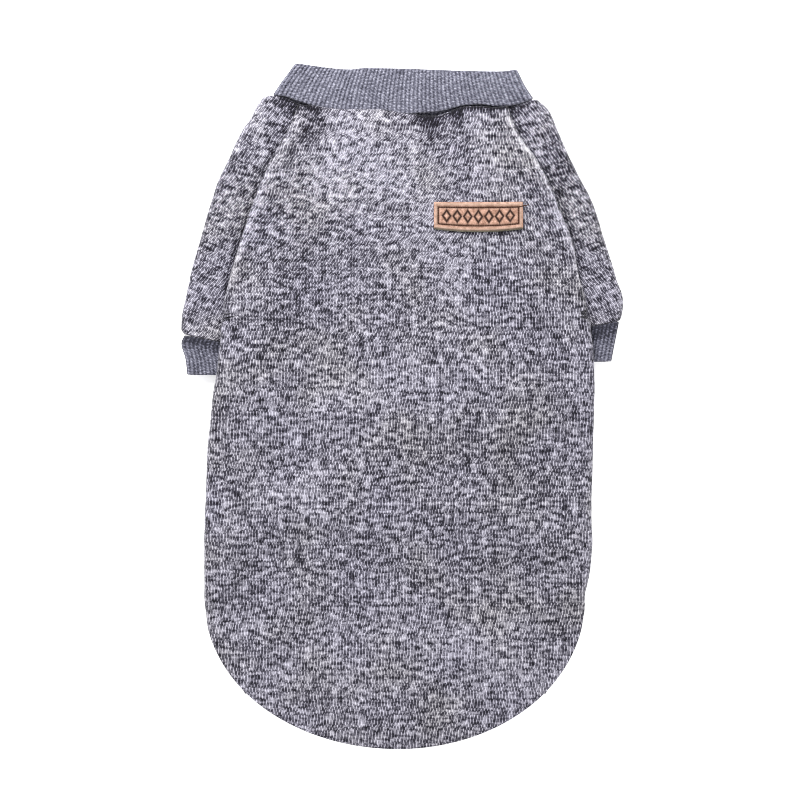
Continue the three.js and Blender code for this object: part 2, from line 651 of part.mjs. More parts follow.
// The patch lies on the back panel and follows its height
const PATCH_ROWS = 4;
const PATCH_COLUMNS = 12;
const PATCH_CLEARANCE = 0.6;
function patchRows() {
  const tilted = radians(PATCH.tilt);
  return Array.from({ length: PATCH_ROWS + 1 }, (_, i) =>
    Array.from({ length: PATCH_COLUMNS + 1 }, (_, j) => {
      const right = (j / PATCH_COLUMNS - 0.5) * PATCH.width;
      const across = (2 * right) / PATCH.width;
      const share = i / PATCH_ROWS;
      const down = (share - 0.5) * PATCH.height + share * PATCH.dip * (1 - across ** 2);
      const x = PATCH.x + right * Math.cos(tilted) - down * Math.sin(tilted);
      const y = PATCH.y - down * Math.cos(tilted) - right * Math.sin(tilted);
      return { ...backPoint(x, y), lift: PATCH_CLEARANCE + PATCH.thick };
    }),
  );
}

// Finishes
const finishes = {
  knit: new THREE.MeshStandardMaterial({ color: 0x8b8994, roughness: 0.95, metalness: 0 }),
  rib: new THREE.MeshStandardMaterial({ color: 0x8d8c9c, roughness: 0.9, metalness: 0 }),
  leather: new THREE.MeshStandardMaterial({ color: 0xb59381, roughness: 0.55, metalness: 0 }),
};

const sweater = new THREE.Group();
function addPiece(name, geometry, finish) {
  const piece = new THREE.Mesh(geometry, finish);
  piece.name = name;
  sweater.add(piece);
}

addPiece("back_panel", wall(backPanelRows(), CLOTH), finishes.knit);
addPiece("belly_panel", wall(bellyPanelRows(), CLOTH), finishes.knit);
addPiece("sleeve_left", wall(sleeveRows(SLEEVES.left, CUFFS.left), CLOTH), finishes.knit);
addPiece("sleeve_right", wall(sleeveRows(SLEEVES.right, CUFFS.right), CLOTH), finishes.knit);
addPiece("collar", wall(collarRows(), RIB_CLOTH, true), finishes.rib);
addPiece("cuff_left", wall(cuffRows(CUFFS.left, -1), RIB_CLOTH, true), finishes.rib);
addPiece("cuff_right", wall(cuffRows(CUFFS.right, 1), RIB_CLOTH, true), finishes.rib);
addPiece("patch", wall(patchRows(), -PATCH_CLEARANCE), finishes.leather);

// The origin is the middle of what the sweater covers, on the surface that it lies on
const box = new THREE.Box3().setFromObject(sweater);
const middle = box.getCenter(new THREE.Vector3());
sweater.position.set(-middle.x, -middle.y, -box.min.z);

export default sweater;
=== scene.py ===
"""A small dog's sweater laid flat on a white table, back side up, dressed over its CAD model.

Knit fleece in marled grey, a rib collar and cuffs, and a tan leather-look patch. Sizes are in
millimetres until a mesh is written, where they turn to metres.
"""
import math
from functools import partial

import bpy
import numpy as np
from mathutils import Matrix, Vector, noise


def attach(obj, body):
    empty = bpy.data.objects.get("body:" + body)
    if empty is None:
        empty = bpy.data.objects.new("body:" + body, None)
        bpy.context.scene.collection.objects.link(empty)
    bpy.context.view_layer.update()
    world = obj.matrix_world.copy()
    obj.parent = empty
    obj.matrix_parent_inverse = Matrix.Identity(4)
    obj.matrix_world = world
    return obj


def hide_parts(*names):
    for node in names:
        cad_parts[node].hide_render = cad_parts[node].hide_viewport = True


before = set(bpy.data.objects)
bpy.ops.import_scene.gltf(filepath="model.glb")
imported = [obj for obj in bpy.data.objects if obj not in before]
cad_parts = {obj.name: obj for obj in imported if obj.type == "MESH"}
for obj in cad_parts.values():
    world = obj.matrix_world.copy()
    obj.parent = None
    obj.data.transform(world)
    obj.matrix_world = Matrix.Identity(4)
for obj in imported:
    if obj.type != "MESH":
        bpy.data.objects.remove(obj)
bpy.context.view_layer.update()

MM = 0.001

# Sizes of the sweater, the same as in the solids
CLOTH = 2.4
RIB_CLOTH = 2.2
UNDERARM_Y = 51
TAIL_Y = 47.5
BELLY_HEM_Y = -64.7
FLAP_CORNER_Y = -163.3
SEAM_INSET = 36
HEM = {"middle": -2, "start_y": -107, "depth": 88.4, "left": 110.4, "right": 106.5, "power": 2.12}
SLEEVE = {"height": 5.6, "fold_height": 6.6, "tuck": 1.5, "inner": 77, "close": 75}
COLLAR = {"seam_height": 6.4, "middle_height": 7.2, "top_height": 6.2, "ribs": 124}
CUFF = {"height": 5.4, "puff": 0.9, "puff_from": 0.64, "puff_run": 0.26, "ribs": 44}
PATCH = {"x": 43.6, "y": 108.2, "width": 50, "height": 14.9, "thick": 1.3, "dip": 1.7}


def table(names, *rows):
    """Named columns and one row of numbers for each section."""
    return {name: [row[i] for row in rows] for i, name in enumerate(names.split())}


def curve(places, values):
    """A smooth curve through the values, with no overshoot between them."""
    order = np.argsort(places)
    x = np.array(places, float)[order]
    y = np.array(values, float)[order]
    gap = np.diff(x)
    slope = np.diff(y) / gap
    tangent = np.concatenate([slope[:1], np.zeros(len(x) - 2), slope[-1:]])
    for i in range(1, len(x) - 1):
        if slope[i - 1] * slope[i] > 0:
            before = 2 * gap[i] + gap[i - 1]
            after = gap[i] + 2 * gap[i - 1]
            tangent[i] = (before + after) / (before / slope[i - 1] + after / slope[i])

    def at(place):
        place = np.clip(place, x[0], x[-1])
        i = np.clip(np.searchsorted(x, place, side="right") - 1, 0, len(gap) - 1)
        t = (place - x[i]) / gap[i]
        rise = slope[i] * gap[i]
        start = tangent[i] * gap[i]
        end = tangent[i + 1] * gap[i]
        return y[i] + t * (start + t * (3 * rise - 2 * start - end + t * (start + end - 2 * rise)))

    return at


def curves(rows, along):
    """One curve for each column of a table, along one of its columns."""
    return {name: curve(rows[along], rows[name]) for name in rows if name != along}


def mix(a, b, t):
    return a + (b - a) * t


def ease(t):
    t = np.clip(t, 0, 1)
    return t * t * (3 - 2 * t)


def bell(t):
    return np.exp(-t * t)


# How far the back panel reaches from the middle line, down its left and its right side
BACK_LEFT = table(
    "y edge",
    (172, 58.4), (157, 64.1), (140, 74.4), (122, 82), (100, 89.8), (78, 96.6),
    (55, 101.2), (36, 103.2), (4, 107.4), (-30, 110.9), (-70, 112), (-107, 112.4),
)
BACK_RIGHT = table(
    "y edge",
    (170, 60.1), (156, 65.8), (139, 77.6), (116, 88.6), (90, 98), (70, 101.7),
    (45, 107.4), (10, 109.2), (-40, 108.4), (-80, 108.2), (-97, 106.7), (-107, 104.5),
)
# How a side of the back panel turns, down its length: through how many degrees and at what radius,
# the height where the turned cloth ends, how far it runs on beneath, and how far in the turn is felt
TURN = curves(table(
    "y roll fold rim tail reach",
    (178, 24, 4.3, 7.9, 0, 20),
    (165, 30, 4.3, 7.9, 0, 24),
    (145, 36, 4.3, 7.9, 0, 28),
    (115, 45, 4.3, 7.7, 0, 34),
    (88, 62, 4.2, 7.4, 0, 42),
    (70, 90, 4, 7, 0, 50),
    (62, 125, 3.5, 6.6, 0, 54),
    (58, 165, 3.2, 6.3, 0, 56),
    (55, 180, 3.1, 6.3, 0, 57),
    (UNDERARM_Y, 180, 3.1, 6.3, 14, 58),
    (TAIL_Y, 180, 3.1, 6.3, SEAM_INSET - 3.1, 58),
    (16, 180, 3.1, 6.3, SEAM_INSET - 3.1, 58),
    (0, 180, 3.4, 4.4, SEAM_INSET - 3.4, 56),
    (-16, 180, 3.9, 1.6, SEAM_INSET - 3.9, 46),
    (-34, 180, 4.3, 0, SEAM_INSET - 4.3, 30),
    (BELLY_HEM_Y, 180, 4.3, 0, SEAM_INSET - 4.3, 22),
    (-72, 180, 4.1, 0, 20, 30),
    (-82, 180, 3.8, 0, 10, 30),
    (-94, 180, 3.3, 0, 3, 24),
    (-102, 180, 3, 0, 0, 20),
    (-110, 135, 2.9, 0, 0, 16),
    (-116, 80, 2.8, 0.4, 0, 12),
    (-122, 30, 2.8, 2.1, 0, 10),
    (-128, 0, 2.8, CLOTH, 0, 10),
), "y")
# Height of the back's middle down its length
MIDDLE = curve(
    (175, 160, 140, 100, 40, 0, -50, -64, -74, -86, -98, -112, -125, -200),
    (8, 7.7, 7.2, 6.9, 7.2, 7.2, 7, 6.7, 5.2, 3.6, 2.9, 2.5, CLOTH, CLOTH),
)

# Soft folds: where, how long and wide, which way they run, how high
FOLDS = table(
    "x y length width angle rise",
    (17, 157, 15, 8, 95, -0.7),
    (-53, 158, 16, 6, 60, -1.1),
    (-20, 159, 14, 14, 90, 0.7),
    (38, 158, 13, 12, 88, 0.7),
    (-30, 128, 34, 13, 62, 0.5),
    (24, 82, 46, 16, 118, 0.5),
    (-62, 62, 40, 12, 70, -0.6),
    (70, 58, 34, 11, 108, -0.5),
    (-10, 10, 60, 18, 12, 0.6),
    (48, -26, 52, 16, 168, -0.5),
    (-58, -48, 44, 15, 25, 0.5),
    (-30, -146, 40, 12, 20, 0.7),
    (44, -140, 36, 13, 152, 0.9),
)

SLEEVE_FOLDS = table(
    "x y length width angle rise",
    (-81, 155, 12, 4, 83, 0.9),
    (-75, 146, 15, 4, 72, -0.6),
    (-104, 108, 26, 8, 66, 0.5),
    (-108, 66, 12, 9, 20, 0.5),
    (76, 150, 11, 3.5, 105, 0.8),
    (84, 143, 15, 5, 112, -0.5),
    (104, 96, 24, 8, 110, 0.5),
    (112, 62, 12, 8, 160, 0.5),
)

# Neckline: where the collar is sewn on, over the back and under the front
NECK_LINE = table(
    "x y",
    (-73, 177), (-65.3, 176), (-59.9, 174), (-53.3, 171.6), (-47.8, 169.9), (-37.9, 168.5), (-27, 168.2),
    (-14, 168.2), (-7.4, 167.6), (2.7, 166.2), (12, 166.9), (20, 167.6), (28, 169.2), (36, 171.2),
    (45, 171.6), (54, 170.5), (63, 171.1), (71.5, 173.6), (74.5, 175),
)
neck_back = curve(NECK_LINE["x"], NECK_LINE["y"])
neck_front = curve((-73, -60, -40, 0, 40, 60, 74.5), (177, 169.9, 163.2, 158.8, 162.8, 167.2, 175))
NECK_ROWS_END_Y = 134
SEAM_ROOM = 0.45  # mm that a cloth ends short of its seam with the collar or a cuff

# Puckers along the collar's seam: where, how wide, how far the cloth sinks and draws back
PUCKERS = table("x width sink gap", (-59, 6, 1.6, 1.3), (19, 11, 1.1, 1.4), (46, 15, 0.6, 0.8))


def puckered(name, x):
    rows = zip(PUCKERS["x"], PUCKERS["width"], PUCKERS[name])
    return sum(value * bell((x - place) / width) for place, width, value in rows)


def neck_edge(x):
    return neck_back(x) - SEAM_ROOM - puckered("gap", x)


NECK_CORNERS = {
    "left": float(neck_edge(-BACK_LEFT["edge"][0])),
    "right": float(neck_edge(BACK_RIGHT["edge"][0])),
}

SIDES = {
    "left": {"sign": -1, "edge": curve(BACK_LEFT["y"], BACK_LEFT["edge"]), "hem": HEM["left"]},
    "right": {"sign": 1, "edge": curve(BACK_RIGHT["y"], BACK_RIGHT["edge"]), "hem": HEM["right"]},
}


def edge_at(side, y):
    """How far the back panel reaches from the middle line at a height y."""
    down = np.clip((HEM["start_y"] - y) / HEM["depth"], 0, 1)
    round_hem = side["hem"] * np.sqrt(1 - down ** HEM["power"]) + side["sign"] * HEM["middle"]
    return np.where(y >= HEM["start_y"], side["edge"](y), round_hem)


def side_turn(side, y):
    roll = np.radians(TURN["roll"](y))
    fold = TURN["fold"](y)
    return {
        "roll": roll,
        "fold": fold,
        "start": edge_at(side, y) - fold * np.sin(np.minimum(roll, math.pi / 2)),
        "height": TURN["rim"](y) + fold * (1 - np.cos(roll)),
        "tail": TURN["tail"](y),
        "reach": TURN["reach"](y),
    }


def fold_rise(x, y, folds):
    total = np.zeros_like(x)
    for fx, fy, length, width, angle, rise in zip(*folds.values()):
        turned = math.radians(angle)
        along = (x - fx) * math.cos(turned) + (y - fy) * math.sin(turned)
        across = (y - fy) * math.cos(turned) - (x - fx) * math.sin(turned)
        total += rise * bell(along / length) * bell(across / width)
    return total


NECK_DIP = 1.1  # how far the cloth sinks to the collar
NECK_RUN = 3.6
PUCKER_RUN = 5
HELD = 0.45  # the share of a side's reach that stays at the side's own height


def back_height(x, y, left, right):
    middle = MIDDLE(y)

    def share(distance, reach):
        return 1 - ease((distance / reach - HELD) / (1 - HELD))

    at_left = share(x + left["start"], left["reach"])
    at_right = share(right["start"] - x, right["reach"])
    to_neck = np.maximum(0, neck_back(x) - y)
    dip = NECK_DIP * bell(to_neck / NECK_RUN) + puckered("sink", x) * bell(to_neck / PUCKER_RUN)
    held = (1 - at_left) * (1 - at_right)
    height = middle + (left["height"] - middle) * at_left + (right["height"] - middle) * at_right
    return np.maximum(CLOTH, height + held * (fold_rise(x, y, FOLDS) - dip))


def back_form(place, y):
    """Points of the back panel's face: places across it, measured round its turned sides."""
    left = side_turn(SIDES["left"], y)
    right = side_turn(SIDES["right"], y)
    is_left = place < 0
    sign = np.where(is_left, -1.0, 1.0)
    bend = {name: np.where(is_left, left[name], right[name]) for name in left}
    past = np.maximum(0, np.abs(place) - bend["start"])
    angle = np.minimum(past / bend["fold"], bend["roll"])
    under = np.maximum(0, past - bend["fold"] * bend["roll"])
    out = bend["start"] + bend["fold"] * np.sin(angle) - under * np.abs(np.cos(angle))
    x = np.where(past > 0, sign * out, place)
    top_x = np.where(past > 0, sign * bend["start"], place)
    z = back_height(top_x, y, left, right) - np.where(past > 0, bend["fold"] * (1 - np.cos(angle)), 0)
    return np.stack([x, y, z], axis=-1)


def hem_y(x):
    half = np.where(x < HEM["middle"], HEM["left"], HEM["right"])
    share = np.minimum(1, np.abs((x - HEM["middle"]) / half))
    return HEM["start_y"] - HEM["depth"] * (1 - share ** 2) ** (1 / HEM["power"])


def spread(stretches, shares):
    """Places along stretches of given lengths, closer together where the weight is higher."""
    lengths = np.concatenate([[0], np.cumsum([length for length, _ in stretches])])
    weights = np.concatenate([[0], np.cumsum([length * weight for length, weight in stretches])])
    return np.interp(shares * weights[-1], weights, lengths)


# Relief that is finer than the solids hold: the cloth never lies quite even
def uneven(points, size, rise, seed):
    """Smooth hills and hollows of about the given size, in millimetres."""
    flat = points.reshape(-1, 3)
    values = [noise.noise(Vector((p[0] / size, p[1] / size, seed))) for p in flat]
    return rise * np.array(values).reshape(points.shape[:-1])


def grid_normals(face, closed=False):
    if closed:
        wrapped = np.concatenate([face[:, -1:], face, face[:, :1]], axis=1)
        across = (wrapped[:, 2:] - wrapped[:, :-2]) / 2
    else:
        across = np.gradient(face, axis=1)
    down = np.gradient(face, axis=0)
    normal = np.cross(down, across)
    return normal / np.maximum(1e-9, np.linalg.norm(normal, axis=-1, keepdims=True))


RIM_STEPS = 3
RIM_ROUND = 0.6  # how far a rim bulges, as a share of half the cloth's thickness
RIM_ROOM = 0.45  # how much of the last gap between points the rim may take up


def borders(grid, closed):
    """The way out of a grid at each point of its border, in the order of the border's points."""
    down = np.gradient(grid, axis=0)
    if closed:
        return [-down[0], down[-1][::-1]]
    across = np.gradient(grid, axis=1)
    return [np.concatenate([-down[0, :-1], across[:-1, -1], down[-1, :0:-1], -across[:0:-1, 0]])]


def shell(name, face, thick, uv, closed=False, relief=None, period=0.0, marks=None):
    """A closed wall of cloth with rounded rims, from a grid of points of its face.

    Its other face lies one thickness behind. The attribute inside is 1 there. Other attributes
    take their values from grids in marks.
    """
    rows, columns, _ = face.shape
    normal = grid_normals(face, closed)
    outer = face if relief is None else face + normal * relief[..., None]
    inner = face - normal * thick
    index = np.arange(rows * columns).reshape(rows, columns)
    if closed:
        loops = [index[0], index[-1][::-1]]
        next_index = np.roll(index, -1, axis=1)
        a, b, c, d = index[:-1], next_index[:-1], next_index[1:], index[1:]
    else:
        loops = [np.concatenate([index[0, :-1], index[:-1, -1], index[-1, :0:-1], index[:0:-1, 0]])]
        a, b, c, d = index[:-1, :-1], index[:-1, 1:], index[1:, 1:], index[1:, :-1]
    a, b, c, d = (corner.ravel() for corner in (a, b, c, d))

    flat_outer, flat_inner, flat_uv = outer.reshape(-1, 3), inner.reshape(-1, 3), uv.reshape(-1, 2)
    rims = []
    for loop, away, away_uv in zip(loops, borders(face, closed), borders(uv, closed)):
        if not closed:
            for corner in (0, columns - 1, columns + rows - 2, 2 * columns + rows - 3):
                before = away[corner - 1] / np.linalg.norm(away[corner - 1])
                away[corner] = away[corner] + before * np.linalg.norm(away[corner])
        gap = np.maximum(1e-9, np.linalg.norm(away, axis=-1, keepdims=True))
        bulge = RIM_ROUND * thick / 2
        step_back = np.minimum(bulge, RIM_ROOM * gap)
        flat_outer[loop] -= away / gap * step_back
        flat_inner[loop] -= away / gap * step_back
        rims.append((loop, away / gap * bulge, away_uv / gap))
    for layer in (flat_outer, flat_inner):
        layer[:, 2] = np.maximum(0, layer[:, 2])

    behind = rows * columns
    vertices, uvs = [flat_outer, flat_inner], [flat_uv, flat_uv]
    inside = [np.zeros(behind), np.ones(behind)]
    grids = {key: [grid.ravel(), grid.ravel()] for key, grid in (marks or {}).items()}
    faces = [np.stack([a, d, c, b], axis=1), np.stack([a, b, c, d], axis=1) + behind]
    count = 2 * behind
    for loop, out, out_uv in rims:
        top, bottom = flat_outer[loop], flat_inner[loop]
        centre, half = (top + bottom) / 2, (top - bottom) / 2
        last = loop
        for step in range(1, RIM_STEPS + 1):
            turned = math.pi * step / (RIM_STEPS + 1)
            ring = centre + half * math.cos(turned) + out * math.sin(turned)
            ring[:, 2] = np.maximum(0, ring[:, 2])
            ids = np.arange(count, count + len(loop))
            count += len(loop)
            vertices.append(ring)
            uvs.append(flat_uv[loop] + out_uv * turned * thick / 2)
            inside.append(np.zeros(len(loop)))
            for key, values in grids.items():
                values.append(values[0][loop])
            faces.append(np.stack([last, np.roll(last, -1), np.roll(ids, -1), ids], axis=1))
            last = ids
        bottom_ids = loop + behind
        faces.append(np.stack([last, np.roll(last, -1), np.roll(bottom_ids, -1), bottom_ids], axis=1))
    grids["inside"] = inside

    mesh = bpy.data.meshes.new(name)
    points = np.concatenate(vertices) * MM
    mesh.from_pydata(points.tolist(), [], np.concatenate(faces).tolist())
    vertex_uv = np.concatenate(uvs)
    layer = mesh.uv_layers.new(name="cloth")
    corner = np.empty(len(mesh.loops), int)
    mesh.loops.foreach_get("vertex_index", corner)
    corner_uv = vertex_uv[corner].reshape(-1, 4, 2)
    if period:
        low = corner_uv[:, :, 0] < corner_uv[:, :, 0].max(axis=1, keepdims=True) - period / 2
        corner_uv[:, :, 0] += np.where(low, period, 0)
    layer.data.foreach_set("uv", corner_uv.ravel())
    for key, values in grids.items():
        attribute = mesh.attributes.new(key, "FLOAT", "POINT")
        attribute.data.foreach_set("value", np.concatenate(values))
    mesh.shade_smooth()
    mesh.update()
    piece = bpy.data.objects.new(name, mesh)
    bpy.context.scene.collection.objects.link(piece)
    return piece


# Materials
def srgb(text):
    """A hex colour as linear red, green and blue."""
    channels = [int(text[i:i + 2], 16) / 255 for i in (1, 3, 5)]
    return [c / 12.92 if c <= 0.04045 else ((c + 0.055) / 1.055) ** 2.4 for c in channels] + [1.0]


def per_100_mm(count):
    """The scale of a pattern that has this many spots in 100 mm."""
    return count / (100 * MM)


def add_node(tree, kind, *values, links=None, out=0, stops=(), **settings):
    """Add a node and give back one of its outputs.

    Its first inputs are linked to or set at the values, other inputs are named in links, and a
    colour ramp has stops.
    """
    made = tree.nodes.new("ShaderNode" + kind)
    for name, value in settings.items():
        setattr(made, name, value)
    for socket, value in [*enumerate(values), *(links or {}).items()]:
        if isinstance(value, bpy.types.NodeSocket):
            tree.links.new(value, made.inputs[socket])
        else:
            made.inputs[socket].default_value = value
    for _ in stops[2:]:
        made.color_ramp.elements.new(1.0)
    for i, (place, colour) in enumerate(stops):
        made.color_ramp.elements[i].position = place
        made.color_ramp.elements[i].color = srgb(colour)
    return made.outputs[out] if made.outputs else None


def new_material(name):
    """An empty material, and the function that adds a node to it."""
    material = bpy.data.materials.new(name)
    material.use_nodes = True
    material.node_tree.nodes.clear()
    return material, partial(add_node, material.node_tree)


def weighed(add, parts, start):
    """A tone: each part times its weight, all added to a start."""
    tone = start
    for part, weight in parts:
        tone = add("Math", part, weight, tone, operation="MULTIPLY_ADD")
    return tone


# Sweater fleece: a plain-knit face in a marl of light and dark yarn, brushed on its inside. The
# eye gets short slanted strokes of yarn, their round tone painted light with painted shade between
# them, flecks where the dark ply comes up, and soft clouds.
WALE = 1.82  # mm from one column of stitches to the next
COURSE = 2.3  # mm from one row of stitches to the next
LEG = 0.62  # the part of a wale that its near leg takes
LEG_FILL = 0.88  # how much of that part it fills
FAR_LEG = 0.4  # how light the far leg is beside the near one: painted shade on the lower leg
LEG_TAPER = 0.6  # under 1, a leg stays wide until close to its ends
WAVER = (1.2 * MM, 1.4 * MM, 0.0)  # how far the yarn strays across and along
ROW_STEP = 0.7  # how far one row of stitches may be out of line with the next, in wales
COLUMN_STEP = 0.55  # how far one column may be out of line with the next, in rows
ROW_DRIFT = (0.03, 0.36, 0.0)  # how fast the rows wander, for each wale and each row
ROW_DRIFT_REACH = 2.0
PLY_CHANGE = (0.36, 0.95, 0.0)  # how fast the ply that shows changes, for each wale and each row


def knit_fleece(name, seed):
    material, add = new_material(name)
    uv = add("UVMap", uv_map="cloth")
    stray = add("TexNoise", links={"Vector": uv, "Scale": per_100_mm(33), "Detail": 1.0}, out="Color")
    wavered = add("VectorMath", stray, WAVER, uv, operation="MULTIPLY_ADD")
    stitches = add("VectorMath", wavered, (WALE * MM, COURSE * MM, 1.0), operation="DIVIDE")
    across = add("SeparateXYZ", stitches, out="X")
    along = add("SeparateXYZ", stitches, out="Y")

    # Rows and columns are a little out of line, and each stroke leans in its row
    column = add("Math", across, operation="FLOOR")
    column = add("TexWhiteNoise", links={"W": column}, noise_dimensions="1D")
    drift = add("VectorMath", stitches, ROW_DRIFT, operation="MULTIPLY")
    drift = add("TexNoise", links={"Vector": drift, "Scale": 1.0, "Detail": 1.0})
    drift = add("Math", drift, ROW_DRIFT_REACH, operation="MULTIPLY")
    moved = add("Math", column, COLUMN_STEP, drift, operation="MULTIPLY_ADD")
    moved = add("Math", along, moved, operation="ADD")
    course = add("Math", moved, operation="FLOOR")
    within = add("Math", moved, operation="FRACT")
    row = add("TexWhiteNoise", links={"W": course}, noise_dimensions="1D")
    stepped = add("Math", row, ROW_STEP, across, operation="MULTIPLY_ADD")
    lean = add("Attribute", attribute_name="lean", out="Fac")
    from_middle = add("Math", within, 0.5, operation="SUBTRACT")
    leaned = add("Math", from_middle, lean, operation="MULTIPLY")
    leaned = add("Math", stepped, leaned, operation="SUBTRACT")
    wale = add("Math", leaned, operation="FLOOR")
    side = add("Math", leaned, operation="FRACT")

    # The near leg of a stitch is a round bar, the far leg a thinner and lower one; their round tone is
    # painted light on the legs and painted shade between them
    def bar(middle, half):
        away = add("Math", side, middle, operation="SUBTRACT")
        away = add("Math", away, half, operation="DIVIDE")
        away = add("Math", away, operation="ABSOLUTE")
        away = add("Math", away, 2.0, operation="POWER")
        round_top = add("Math", 1.0, away, operation="SUBTRACT")
        return add("Math", round_top, 0.0, operation="MAXIMUM")

    near = bar(LEG / 2, LEG_FILL * LEG / 2)
    far = add("Math", bar((1 + LEG) / 2, (1 - LEG) / 2), FAR_LEG, operation="MULTIPLY")
    legs = add("Math", near, far, operation="ADD")
    length = add("Math", within, math.pi, operation="MULTIPLY")
    length = add("Math", length, operation="SINE")
    length = add("Math", length, LEG_TAPER, operation="POWER")
    length = add("Math", length, 0.5, 0.5, operation="MULTIPLY_ADD")
    yarn = add("Math", legs, length, operation="MULTIPLY")

    # Which ply shows: it changes slowly along a row of stitches and quickly from row to row
    spot = add("CombineXYZ", wale, course, seed)
    single = add("TexWhiteNoise", links={"Vector": spot}, noise_dimensions="3D")
    run = add("VectorMath", stitches, PLY_CHANGE, (0.0, 0.0, seed), operation="MULTIPLY_ADD")
    ply = add("TexNoise", links={"Vector": run, "Scale": 1.0, "Detail": 1.0, "Roughness": 0.5})
    other = add("VectorMath", uv, (seed, seed, 0.0), operation="ADD")
    patchy = add("TexNoise", links={
        "Vector": other, "Scale": per_100_mm(33), "Detail": 2.0, "Roughness": 0.65})
    cloudy = add("TexNoise", links={"Vector": uv, "Scale": per_100_mm(5.2), "Detail": 2.0})
    painted_shading = add("Attribute", attribute_name="painted_shading", out="Fac")
    # The last part is painted light and shade: lighter on welts, ridges and folds, darker in creases, seams
    # and under the patch.
    tone = weighed(add, [
        (yarn, 0.46), (single, 0.16), (ply, 1.0), (patchy, 0.9), (cloudy, 0.28), (painted_shading, 0.12)], -0.965)
    marl = add("ValToRGB", tone, stops=[
        (0.0, "#121019"), (0.22, "#3c3a46"), (0.38, "#72707c"), (0.5, "#97959f"),
        (0.66, "#bab8c4"), (0.84, "#d2d0dc"), (1.0, "#e6e4ee")])

    # The dye is a touch cooler in some places and warmer in others
    dye = add("TexNoise", links={"Vector": uv, "Scale": per_100_mm(2.2), "Detail": 2.0})
    cast = add("ValToRGB", dye, stops=[(0.35, "#fbfaff"), (0.5, "#fdfcfe"), (0.68, "#fdfcf6")])
    dyed = add("Mix", links={0: 1.0, 6: marl, 7: cast}, data_type="RGBA", blend_type="MULTIPLY", out=2)
    pile = add("TexNoise", links={"Vector": uv, "Scale": per_100_mm(90), "Detail": 3.0})
    brushed = add("ValToRGB", pile, stops=[(0.3, "#8c8a93"), (0.7, "#b9b7c0")])
    inside = add("Attribute", attribute_name="inside", out="Fac")
    colour = add("Mix", links={0: inside, 6: dyed, 7: brushed}, data_type="RGBA", out=2)
    height = add("Mix", links={0: inside, 2: yarn, 3: pile}, data_type="FLOAT")
    bump = add("Bump", links={"Height": height, "Strength": 0.7, "Distance": 0.5 * MM})
    add("OutputMaterial", add("BsdfPrincipled", links={
        "Base Color": colour, "Normal": bump, "Roughness": 0.92, "IOR": 1.5,
        "Specular IOR Level": 0.2, "Sheen Weight": 0.2, "Sheen Roughness": 0.5}))
    return material


# Rib knit in one blue-grey yarn: the eye gets ridges and tiny uneven loops with painted highlight, and
# grooves with painted shade
RIB_COURSE = 0.85  # mm from one loop to the next along a rib
RIB_SLANT = -0.7  # how far a loop slants over a rib's width, in loops


def rib_knit(name):
    material, add = new_material(name)
    uv = add("UVMap", uv_map="cloth")
    place = add("TexCoord", out="Object")
    ribs = add("SeparateXYZ", uv, out="X")
    rib = add("Math", ribs, operation="FLOOR")
    side = add("Math", ribs, operation="FRACT")
    side = add("Math", side, 0.5, operation="SUBTRACT")
    start = add("TexWhiteNoise", links={"W": rib}, noise_dimensions="1D")
    along = add("SeparateXYZ", uv, out="Y")
    along = add("Math", along, RIB_COURSE * MM, operation="DIVIDE")
    along = add("Math", along, start, operation="ADD")
    slanted = add("Math", side, RIB_SLANT, along, operation="MULTIPLY_ADD")
    loop = add("Math", slanted, operation="FRACT")
    loop = add("Math", loop, math.pi, operation="MULTIPLY")
    loop = add("Math", loop, operation="SINE")
    off = add("Math", side, operation="ABSOLUTE")
    off = add("Math", off, 2.0, operation="MULTIPLY")
    ridge = add("Math", 1.0, off, operation="SUBTRACT")
    spot = add("CombineXYZ", rib, add("Math", slanted, operation="FLOOR"))
    single = add("TexWhiteNoise", links={"Vector": spot}, noise_dimensions="2D")
    cloudy = add("TexNoise", links={"Vector": place, "Scale": per_100_mm(7), "Detail": 2.0})
    fuzz = add("TexNoise", links={"Vector": place, "Scale": per_100_mm(110), "Detail": 1.0})
    painted_shading = add("Attribute", attribute_name="painted_shading", out="Fac")
    # The ridge and loop parts are painted light on the ribs and painted shade in the grooves; the last part
    # is painted shade on the cuffs
    tone = weighed(add, [
        (ridge, 0.36), (single, 0.28), (loop, 0.22), (cloudy, 0.2), (fuzz, 0.85), (painted_shading, 0.25)], -0.5)
    colour = add("ValToRGB", tone, stops=[
        (0.1, "#2f2f3a"), (0.4, "#636372"), (0.7, "#90909f"), (1.0, "#c6c6d6")])
    height = add("Math", loop, ridge, operation="MULTIPLY")
    bump = add("Bump", links={"Height": height, "Strength": 0.7, "Distance": 0.4 * MM})
    add("OutputMaterial", add("BsdfPrincipled", links={
        "Base Color": colour, "Normal": bump, "Roughness": 0.9, "IOR": 1.5,
        "Specular IOR Level": 0.2, "Sheen Weight": 0.15}))
    return material


